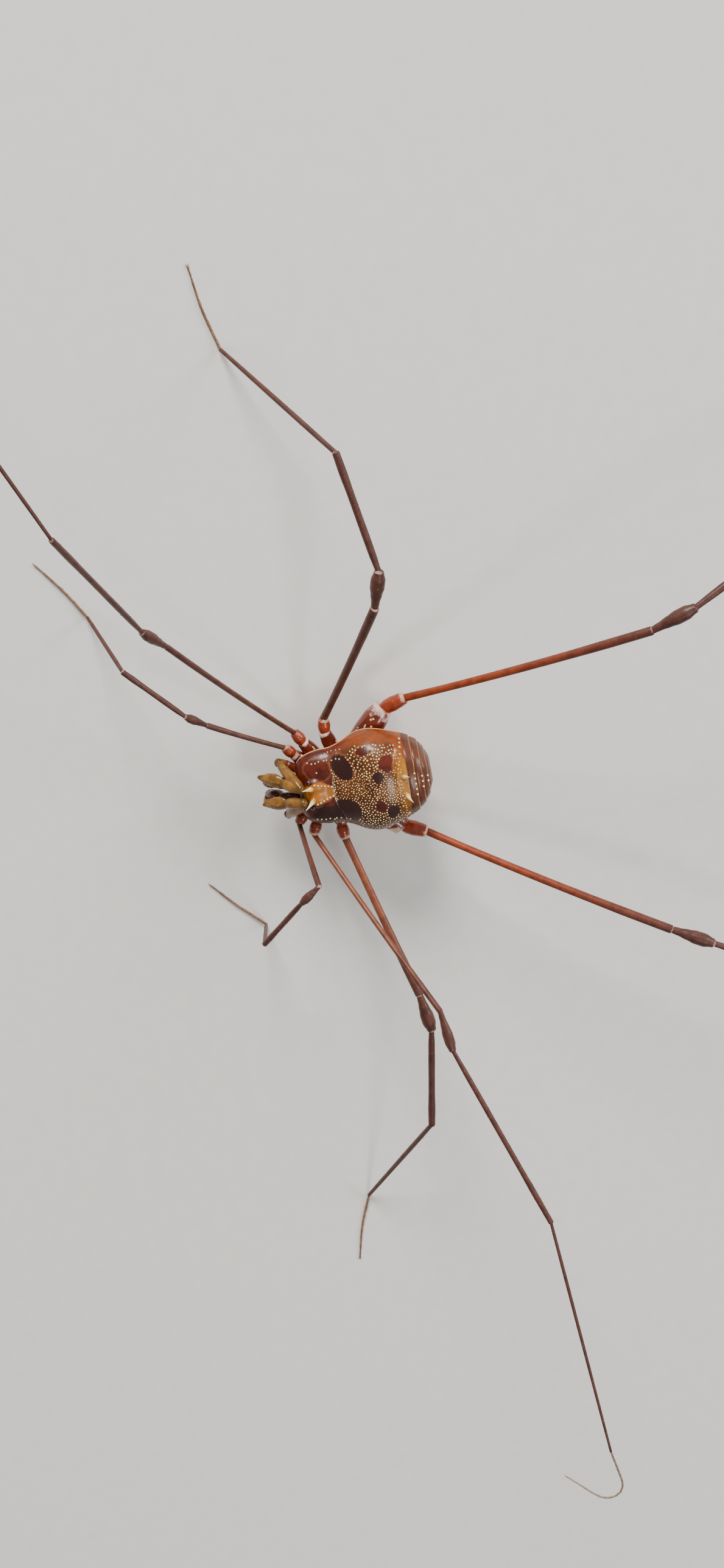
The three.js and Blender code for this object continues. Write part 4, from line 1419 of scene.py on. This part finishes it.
def build_coxae():
    """The coxae of the legs and pedipalps, with their tubercles."""
    coxae = []
    tubercles = []
    chance = random.Random(SEED + 1)
    for side in SIDES.values():
        for number, (root, hip, _, radius) in HIPS.items():
            root, hip = on_side(root, side), on_side(hip, side)
            girths = [radius * share for share in COXA_SHAPE]
            coxa = turned_limb("coxa", root, hip, girths, rings=16, facets=36, caps=(0.5, 0.3))
            if number == 4:
                scale_values(coxa, "to_end", HIND_MEMBRANE)
            coxae.append(coxa)
            tubercles.extend(coxa_tubercles(root, hip, girths, side, COXA_TUBERCLES[number],
                                            chance))
        coxae.append(turned_limb("coxa", on_side(PALP["root"], side), on_side(PALP["hip"], side),
                                 PALP_COXA, rings=6, facets=20))
    palette = colours()
    settle(joined("coxae", coxae),
           joint_material("coxa_chitin", palette.coxa, palette.membrane, 0.14, 0.46))
    settle(beads("coxa_tubercles", tubercles), cream_material("coxa_cream"))


def build_eyes():
    """A glossy black lens on each end of the eye mound."""
    lens = eye_material()
    for word, side in SIDES.items():
        clear_selection()
        bpy.ops.mesh.primitive_uv_sphere_add(segments=32, ring_count=20, radius=EYE["radius"])
        eye = bpy.context.active_object
        edit_all(eye, lambda: bpy.ops.transform.resize(value=(0.92, 1.0, 1.0)))
        eye.data.transform(Matrix.Translation(on_side((EYE["x"], EYE["y"], EYE["z"]), side)))
        eye.name = f"lens_{word}"
        settle(eye, lens, [f"eye_{word}"])


def chelicera_hand(side):
    """The swollen hand, narrower below and drawn forwards to the fingers."""
    clear_selection()
    bpy.ops.mesh.primitive_uv_sphere_add(segments=40, ring_count=28, radius=1.0)
    hand = bpy.context.active_object
    points = coordinates(hand)
    lower = np.clip(-points[:, 2], 0, 1)
    points[:, 0] *= 1 - 0.3 * lower ** 1.5
    points[:, 1] = points[:, 1] * (1 - 0.35 * lower ** 1.5) - 0.3 * lower ** 2
    points *= np.array(CHELICERA["hand_half"])
    move_points(hand, points)
    hand.data.transform(Matrix.Translation(on_side(CHELICERA["hand"], side)))
    return hand


def chelicera_parts(side):
    arm = turned_limb("arm", on_side(CHELICERA["base"], side), on_side(CHELICERA["elbow"], side),
                      ARM_SHAPE, rings=10, facets=28)
    hand = chelicera_hand(side)
    knuckle = on_side(CHELICERA["fingers"], side)
    fingers = []
    for way in (-1, 1):
        root = knuckle + Vector((0, way * 0.17, 0.1))
        tip = knuckle + Vector((0, way * 0.03, -CHELICERA["finger_length"]))
        fingers.append(turned_limb("finger", root, tip, FINGER_SHAPE, rings=12, bow=0.12,
                                   over=(0, way, 0)))
    forget_shares([arm, *fingers])
    return [arm, hand, *fingers]


def jaw_setae(chance):
    """Pale setae that fan forwards from the top of each hand."""
    items = []
    half = Vector(CHELICERA["hand_half"])
    for side in SIDES.values():
        centre = on_side(CHELICERA["hand"], side)
        for _ in range(SETAE):
            across, back = chance.uniform(-0.75, 0.75), chance.uniform(-0.9, 0.3)
            lift = math.sqrt(max(0.05, 1 - across ** 2 - back ** 2))
            outward = Vector((across, back, lift))
            root = centre + half * outward * 0.97
            way = (outward + Vector((0, -0.7, 0.2))).normalized()
            items.append((root, root + way * chance.uniform(*SETA_LENGTHS), SETA_RADIUS))
    return spikes("jaw_setae", items)


def build_chelicerae():
    """The jaws: a short arm, a swollen hand and two fingers on each side."""
    material = jaw_material()
    for word, side in SIDES.items():
        settle(joined(f"jaw_{word}", chelicera_parts(side)), material,
               [f"chelicera_{word}"])
    settle(jaw_setae(random.Random(SEED + 3)), cream_material("seta_cream"))


def spoon(start, end, radii):
    """The flattened tibia of a pedipalp, with a keel along its upper face."""
    piece = turned_limb("spoon", start, end, radii, rings=24, facets=44, caps=(0.5, 0.9))
    matrix = limb_matrix(start, end, (0, 0, 1))
    piece.data.transform(matrix.inverted())
    points = coordinates(piece)
    x, y = points[:, 0], points[:, 1]
    keel = SPOON["keel"] * np.exp(-(x / SPOON["keel_width"]) ** 2) * (y > 0)
    points[:, 1] = y * SPOON["flatness"] + keel - SPOON["droop"] * x ** 2
    move_points(piece, points)
    piece.data.transform(matrix)
    return piece


def build_pedipalps():
    """Short flattened feelers folded over the jaws."""
    gloss = palp_material()
    for word, side in SIDES.items():
        hip, thigh, knee, shin, wrist, tip = (palp_place(key, side) for key in
                                              ("hip", "thigh", "knee", "shin", "wrist", "tip"))
        trochanter = turned_limb("base", hip, thigh, PALP_SHAPES["trochanter"], rings=6,
                                 facets=24)
        femur = turned_limb("femur", thigh, knee, PALP_SHAPES["femur"], rings=16, flatness=0.82,
                            facets=36, over=(0, -1, 0), caps=(0.6, 0.85))
        settle(joined(f"palp_femur_{word}", [trochanter, femur]), gloss,
               [f"pedipalp_femur_{word}"])
        patella = turned_limb("patella", knee, shin, PALP_SHAPES["patella"], rings=12,
                              flatness=0.85, facets=36, caps=(0.8, 0.7))
        tibia = spoon(shin, wrist, PALP_SHAPES["tibia"])
        tarsus = turned_limb("tarsus", wrist.lerp(shin, 0.1), tip, PALP_SHAPES["tarsus"],
                             rings=10, bow=0.06, facets=20, over=(0, -1, 0))
        claw = turned_limb("claw", tip, tip + Vector((-side * 0.05, 0.02, -0.24)),
                           PALP_SHAPES["claw"], rings=6, bow=0.03, facets=12)
        settle(joined(f"palp_tibia_{word}", [patella, tibia, tarsus, claw]), gloss,
               [f"pedipalp_tibia_{word}"])


# Legs

def heading(side, sweep, rise):
    """The way of a segment that is swept forwards and raised by so many degrees."""
    flat = math.cos(math.radians(rise))
    return Vector((side * flat * math.cos(math.radians(sweep)),
                   -flat * math.sin(math.radians(sweep)), math.sin(math.radians(rise))))


def leg_joints(name, number, side):
    """Joints of a leg, from the hip to the end of the metatarsus."""
    sweep, rise, _ = POSES[name]
    foot_level = FLOOR + FOOT_GIRTH / 2 * math.cos(math.pi / FOOT_SIDES)
    points = [on_side(HIPS[number][1], side), on_side(HIPS[number][2], side)]
    for part in range(4):
        length = LENGTHS[number][part]
        if part < len(rise):
            climb = rise[part]
        else:
            climb = math.degrees(math.asin((foot_level - points[-1].z) / length))
        points.append(points[-1] + heading(side, sweep[part], climb) * length)
    return points


def foot_radius(number, share):
    return smooth_value(SHAPES["tarsus"], share) * STOUTNESS["tarsus"][number]


def tarsus_path(name, number, side, start):
    """Points of the tarsus, which curls to the front in its middle half."""
    sweep, rise, turn = POSES[name]
    stands = len(rise) == 3
    climb = 0 if stands else rise[4]
    points = [start.copy()]
    for step in range(1, TARSUS_STEPS + 1):
        share = (step - 0.5) / TARSUS_STEPS
        curl = eased(clamped((share - CURL_START) / CURL_LENGTH))
        way = heading(side, sweep[4] + turn * curl, climb)
        points.append(points[-1] + way * (LENGTHS[number][4] / TARSUS_STEPS))
    if stands:
        for step, point in enumerate(points):
            share = step / TARSUS_STEPS
            lowered = min(share / LANDED, 1)
            resting = FLOOR + foot_radius(number, share)
            point.z = start.z * (1 - lowered) + resting * lowered
    return points


def path_point(points, share):
    place = clamped(share) * (len(points) - 1)
    low = min(int(place), len(points) - 2)
    return points[low].lerp(points[low + 1], place - low)


def way_of(points):
    return (points[-1] - points[-2]).normalized()


def leg_radii(segment, number):
    return [value * STOUTNESS[segment][number] for value in SHAPES[segment]]


def rest_on_floor(piece):
    """Presses what would dip below the floor into a small flat."""
    points = coordinates(piece)
    points[:, 2] = np.maximum(points[:, 2], FLOOR + FLOOR_GAP)
    move_points(piece, points)


def tarsus_parts(number, path):
    """The short joints of the tarsus and its claws."""
    count = TARSOMERES[number]
    pieces = []
    for bead in range(count):
        first, last = bead / count, (bead + 1) / count
        wide = foot_radius(number, (first + last) / 2)
        radii = [wide * share for share in TARSOMERE_SHAPE]
        pieces.append(turned_limb("tarsomere", path_point(path, first), path_point(path, last),
                                  radii, rings=6, facets=14, order=5 / LEG_PARTS,
                                  caps=(0.5, 0.4)))
    claw_length = sizes().claw / MM
    for claw in range(CLAWS[number]):
        splay = math.radians(CLAW_SPLAY * (2 * claw - (CLAWS[number] - 1)))
        end = path[-1] + (Matrix.Rotation(splay, 3, "Z") @ way_of(path)) * claw_length
        end.z = max(end.z - CLAW_DROP, FLOOR + CLAW_GAP)
        pieces.append(turned_limb("claw", path[-1], end, CLAW_SHAPE, rings=8, bow=0.05,
                                  facets=10, order=5 / LEG_PARTS))
    return pieces


def build_leg(name, number, side, materials):
    """One leg from its trochanter to its claws. Gives back its joints and its tarsus' path."""
    joints = leg_joints(name, number, side)
    trochanter = turned_limb("trochanter", joints[0], joints[1], leg_radii("trochanter", number),
                             rings=16, facets=32, caps=(0.6, 0.3))
    settle(joined(f"{name}_hip", [trochanter]), materials["trochanter"],
           [f"{name}_trochanter"])
    parts = {}
    for part, segment in enumerate(SEGMENTS[:4]):
        bow = FEMUR_BOW * LENGTHS[number][0] if segment == "femur" else 0.0
        parts[segment] = turned_limb(segment, joints[part + 1], joints[part + 2],
                                     leg_radii(segment, number), rings=24, bow=bow,
                                     order=(part + 1) / LEG_PARTS)
    skin = materials["hind" if number == 4 else "warm" if name in WARM_LEGS else "leg"]
    settle(joined(f"{name}_upper", [parts["femur"], parts["patella"]]), skin,
           [f"{name}_femur", f"{name}_patella"])
    settle(joined(f"{name}_lower", [parts["tibia"], parts["metatarsus"]]), skin,
           [f"{name}_tibia", f"{name}_metatarsus"])
    path = tarsus_path(name, number, side, joints[5])
    foot = joined(f"{name}_foot", tarsus_parts(number, path))
    rest_on_floor(foot)
    settle(foot, materials["thin_foot" if number == 2 else "foot"], [f"{name}_tarsus"])
    return joints, path


def spikes(name, items):
    """Many thin three-sided bristles in one mesh. An item is root, tip and radius."""
    points = []
    faces = []
    for root, tip, radius in items:
        along = (tip - root).normalized()
        side = along.orthogonal().normalized()
        other = along.cross(side)
        start = len(points)
        for step in range(3):
            angle = 2 * math.pi * step / 3
            points.append(root + radius * (math.cos(angle) * side + math.sin(angle) * other))
        points.append(tip)
        faces.extend([(start, start + 1, start + 3), (start + 1, start + 2, start + 3),
                      (start + 2, start, start + 3), (start + 2, start + 1, start)])
    return mesh_piece(name, points, faces)


def leg_bristles(number, joints, path, chance):
    """Short bristles that lean towards the foot, all round each segment."""
    length = sizes().bristle / MM
    items = []
    for part, segment in enumerate(SEGMENTS):
        points = [joints[part + 1], joints[part + 2]] if part < 4 else path
        span = LENGTHS[number][part]
        for _ in range(int(span * (BRISTLES_NEAR if part < 2 else BRISTLES_FAR))):
            share = chance.uniform(0.03, 0.99)
            centre = path_point(points, share)
            ahead = path_point(points, share + 0.02)
            along = (ahead - centre).normalized() if share < 0.98 else way_of(points)
            side = along.orthogonal().normalized()
            outward = Matrix.Rotation(chance.uniform(0, 2 * math.pi), 3, along) @ side
            if part == 0:
                centre.z += bowed(FEMUR_BOW * span, share)
            reach = smooth_value(leg_radii(segment, number), share) * BRISTLE_SEAT
            root = centre + outward * reach
            lean = (outward * 0.6 + along * 0.8).normalized()
            tip = root + lean * length * chance.uniform(0.6, 1.2)
            tip.z = max(tip.z, FLOOR + BRISTLE_GAP)
            items.append((root, tip, BRISTLE_RADIUS))
    return items


def leg_tubercles(number, joints, chance):
    """Rows of tiny brown tubercles along the upper face of the first three segments."""
    items = []
    for part, segment in enumerate(SEGMENTS[:3]):
        start, end = joints[part + 1], joints[part + 2]
        along = (end - start).normalized()
        side = Vector((0, 0, 1)).cross(along).normalized()
        over = along.cross(side)
        span = LENGTHS[number][part]
        radii = leg_radii(segment, number)
        for row in TUBERCLE_ROWS:
            outward = Matrix.Rotation(math.radians(row), 3, along) @ over
            for place in range(int(span / TUBERCLE_SPACING)):
                share = (place + 0.5 + chance.uniform(-0.25, 0.25)) * TUBERCLE_SPACING / span
                centre = start.lerp(end, share)
                if part == 0:
                    centre.z += bowed(FEMUR_BOW * span, share)
                reach = smooth_value(radii, share) * TUBERCLE_SEAT
                items.append((centre + outward * reach, outward,
                              chance.uniform(*TUBERCLE_RADII)))
    return items


def build_legs():
    """Eight legs of seven segments, with bristles and claws."""
    palette = colours()
    materials = {
        "leg": leg_material("leg_chitin", palette.leg_near),
        "hind": leg_material("hind_leg_chitin", palette.leg_hind),
        "warm": leg_material("warm_leg_chitin", palette.leg_warm),
        "trochanter": joint_material("trochanter_chitin", palette.trochanter,
                                     blended(palette.membrane, palette.yellow, 0.3), 0.1, 0.42),
        "foot": banded_material("foot_chitin", palette.foot, palette.leg_far, "to_end", 0.04,
                                0.0, roughness=0.5, coat=0.05),
        "thin_foot": banded_material("thin_foot_chitin", palette.thin_foot, palette.foot,
                                     "to_end", 0.03, 0.0, roughness=0.4, coat=0.1, dark=0.75),
    }
    chance = random.Random(SEED + 2)
    bristle_skin = plain_material("bristle_hair", palette.bristle)
    tubercle_skin = plain_material("tubercle_brown", palette.tubercle)
    for number in HIPS:
        for word, side in SIDES.items():
            name = f"leg_{number}_{word}"
            joints, path = build_leg(name, number, side, materials)
            bristles = spikes(f"{name}_bristles", leg_bristles(number, joints, path, chance))
            rest_on_floor(bristles)
            settle(bristles, bristle_skin)
            tubercles = beads(f"{name}_tubercles", leg_tubercles(number, joints, chance))
            settle(tubercles, tubercle_skin)


# Stage

def camera_axes():
    """The image's right, up and towards-the-viewer ways in the body layout."""
    tilt, roll = math.radians(CAMERA_TILT), math.radians(CAMERA_ROLL)
    right = Vector((math.sin(roll) * math.cos(tilt), math.cos(roll),
                    math.sin(roll) * math.sin(tilt)))
    up = Vector((-math.cos(roll) * math.cos(tilt), math.sin(roll),
                 -math.cos(roll) * math.sin(tilt)))
    back = Vector((-math.sin(tilt), 0, math.cos(tilt)))
    return right, up, back


def build_camera():
    """The camera at the photograph's angle, scale and framing."""
    right, up, back = camera_axes()
    distance = sizes().camera_distance / MM
    across = (PHOTO_WIDTH / 2 - BODY_PIXEL[0]) / PIXELS_PER_MM
    down = (PHOTO_HEIGHT / 2 - BODY_PIXEL[1]) / PIXELS_PER_MM
    target = right * across - up * down
    data = bpy.data.cameras.new("photo_camera")
    data.sensor_width = SENSOR_SIZE
    data.lens = PIXELS_PER_MM * distance * SENSOR_SIZE / PHOTO_HEIGHT
    data.clip_start, data.clip_end = CLIP_RANGE
    camera = bpy.data.objects.new("photo_camera", data)
    bpy.context.scene.collection.objects.link(camera)
    turn = Matrix((right, up, back)).transposed().to_4x4()
    camera.matrix_world = Matrix.Translation(TO_FRAME @ (target + back * distance)) @ turn
    bpy.context.scene.camera = camera


def build_lamp(name, place, radius, power, colour):
    """A small round lamp that shines all round, so that no edge of it shows on the floor."""
    data = bpy.data.lights.new(name, "POINT")
    data.shadow_soft_size = radius
    data.energy = power
    data.color = colour
    lamp = bpy.data.objects.new(name, data)
    bpy.context.scene.collection.objects.link(lamp)
    lamp.location = place


def build_stage():
    """A pale floor, three soft lights and the camera of the photograph."""
    clear_selection()
    bpy.ops.mesh.primitive_grid_add(x_subdivisions=2, y_subdivisions=2, size=STAGE_SIZE,
                                    location=(0, 0, 0))
    floor = bpy.context.active_object
    floor.name = "studio_floor"
    floor.data.transform(Matrix.Translation((0, 0, -STAGE_DROP)))
    floor.data.materials.append(floor_material())
    axes = camera_axes()
    for name, (place, radius, power, colour) in LAMPS.items():
        shift = sum((axis * reach for axis, reach in zip(axes, place)), Vector())
        build_lamp(name, TO_FRAME.translation + shift, radius, power, colour)
    world = bpy.data.worlds.new("studio")
    world.use_nodes = True
    surround = world.node_tree.nodes["Background"]
    surround.inputs["Color"].default_value = SURROUND_COLOUR
    surround.inputs["Strength"].default_value = SURROUND_STRENGTH
    bpy.context.scene.world = world
    build_camera()


# Operators, panel and registration

class HARVESTMAN_OT_stage(bpy.types.Operator):
    """Adds the pale floor, the soft lights and the camera"""

    bl_idname = "harvestman.stage"
    bl_label = "Stage"
    bl_options = {"REGISTER", "UNDO"}

    def execute(self, context):
        build_stage()
        return {"FINISHED"}


class HARVESTMAN_OT_shield(bpy.types.Operator):
    """Models the shield with its eye mound, marks and rim"""

    bl_idname = "harvestman.shield"
    bl_label = "Dorsal shield"
    bl_options = {"REGISTER", "UNDO"}

    def execute(self, context):
        build_shield()
        build_rim()
        return {"FINISHED"}


class HARVESTMAN_OT_spines(bpy.types.Operator):
    """Models the two spines of the eye mound and the two at the rear"""

    bl_idname = "harvestman.spines"
    bl_label = "Spines"
    bl_options = {"REGISTER", "UNDO"}

    def execute(self, context):
        build_spines()
        return {"FINISHED"}


class HARVESTMAN_OT_granules(bpy.types.Operator):
    """Sets the pale granules on the shield"""

    bl_idname = "harvestman.granules"
    bl_label = "Granules"
    bl_options = {"REGISTER", "UNDO"}

    def execute(self, context):
        build_granules()
        return {"FINISHED"}


class HARVESTMAN_OT_tergites(bpy.types.Operator):
    """Models the free tergites and their tubercles"""

    bl_idname = "harvestman.tergites"
    bl_label = "Free tergites"
    bl_options = {"REGISTER", "UNDO"}

    def execute(self, context):
        build_tergites()
        return {"FINISHED"}


class HARVESTMAN_OT_underside(bpy.types.Operator):
    """Models the belly, the genital plate and the coxae"""

    bl_idname = "harvestman.underside"
    bl_label = "Underside"
    bl_options = {"REGISTER", "UNDO"}

    def execute(self, context):
        build_belly()
        build_coxae()
        return {"FINISHED"}


class HARVESTMAN_OT_eyes(bpy.types.Operator):
    """Models the two glossy eyes"""

    bl_idname = "harvestman.eyes"
    bl_label = "Eyes"
    bl_options = {"REGISTER", "UNDO"}

    def execute(self, context):
        build_eyes()
        return {"FINISHED"}


class HARVESTMAN_OT_chelicerae(bpy.types.Operator):
    """Models the jaws and their setae"""

    bl_idname = "harvestman.chelicerae"
    bl_label = "Chelicerae"
    bl_options = {"REGISTER", "UNDO"}

    def execute(self, context):
        build_chelicerae()
        return {"FINISHED"}


class HARVESTMAN_OT_pedipalps(bpy.types.Operator):
    """Models the folded pedipalps"""

    bl_idname = "harvestman.pedipalps"
    bl_label = "Pedipalps"
    bl_options = {"REGISTER", "UNDO"}

    def execute(self, context):
        build_pedipalps()
        return {"FINISHED"}


class HARVESTMAN_OT_legs(bpy.types.Operator):
    """Models the eight legs with their claws, bristles and tubercles"""

    bl_idname = "harvestman.legs"
    bl_label = "Legs"
    bl_options = {"REGISTER", "UNDO"}

    def execute(self, context):
        build_legs()
        return {"FINISHED"}


OPERATORS = (
    HARVESTMAN_OT_stage,
    HARVESTMAN_OT_shield,
    HARVESTMAN_OT_spines,
    HARVESTMAN_OT_granules,
    HARVESTMAN_OT_tergites,
    HARVESTMAN_OT_underside,
    HARVESTMAN_OT_eyes,
    HARVESTMAN_OT_chelicerae,
    HARVESTMAN_OT_pedipalps,
    HARVESTMAN_OT_legs,
)


class HARVESTMAN_PT_sidebar(bpy.types.Panel):
    """Lists the building steps, sizes and colours"""

    bl_idname = "HARVESTMAN_PT_sidebar"
    bl_label = "Harvestman"
    bl_space_type = "VIEW_3D"
    bl_region_type = "UI"
    bl_category = "Harvestman"

    def draw(self, context):
        for item in OPERATORS:
            self.layout.operator(item.bl_idname)
        for group in (context.scene.harvestman_sizes, context.scene.harvestman_colours):
            box = self.layout.box()
            for name in group.bl_rna.properties.keys():
                if name not in ("rna_type", "name"):
                    box.prop(group, name)


CLASSES = (HarvestmanSizes, HarvestmanColours, *OPERATORS, HARVESTMAN_PT_sidebar)


def register():
    for item in CLASSES:
        bpy.utils.register_class(item)
    bpy.types.Scene.harvestman_sizes = PointerProperty(type=HarvestmanSizes)
    bpy.types.Scene.harvestman_colours = PointerProperty(type=HarvestmanColours)


def unregister():
    del bpy.types.Scene.harvestman_colours
    del bpy.types.Scene.harvestman_sizes
    for item in reversed(CLASSES):
        bpy.utils.unregister_class(item)


def main():
    register()
    bpy.ops.harvestman.stage()
    bpy.ops.harvestman.shield()
    bpy.ops.harvestman.spines()
    bpy.ops.harvestman.granules()
    bpy.ops.harvestman.tergites()
    bpy.ops.harvestman.underside()
    bpy.ops.harvestman.eyes()
    bpy.ops.harvestman.chelicerae()
    bpy.ops.harvestman.pedipalps()
    bpy.ops.harvestman.legs()


if __name__ == "__main__":
    main()
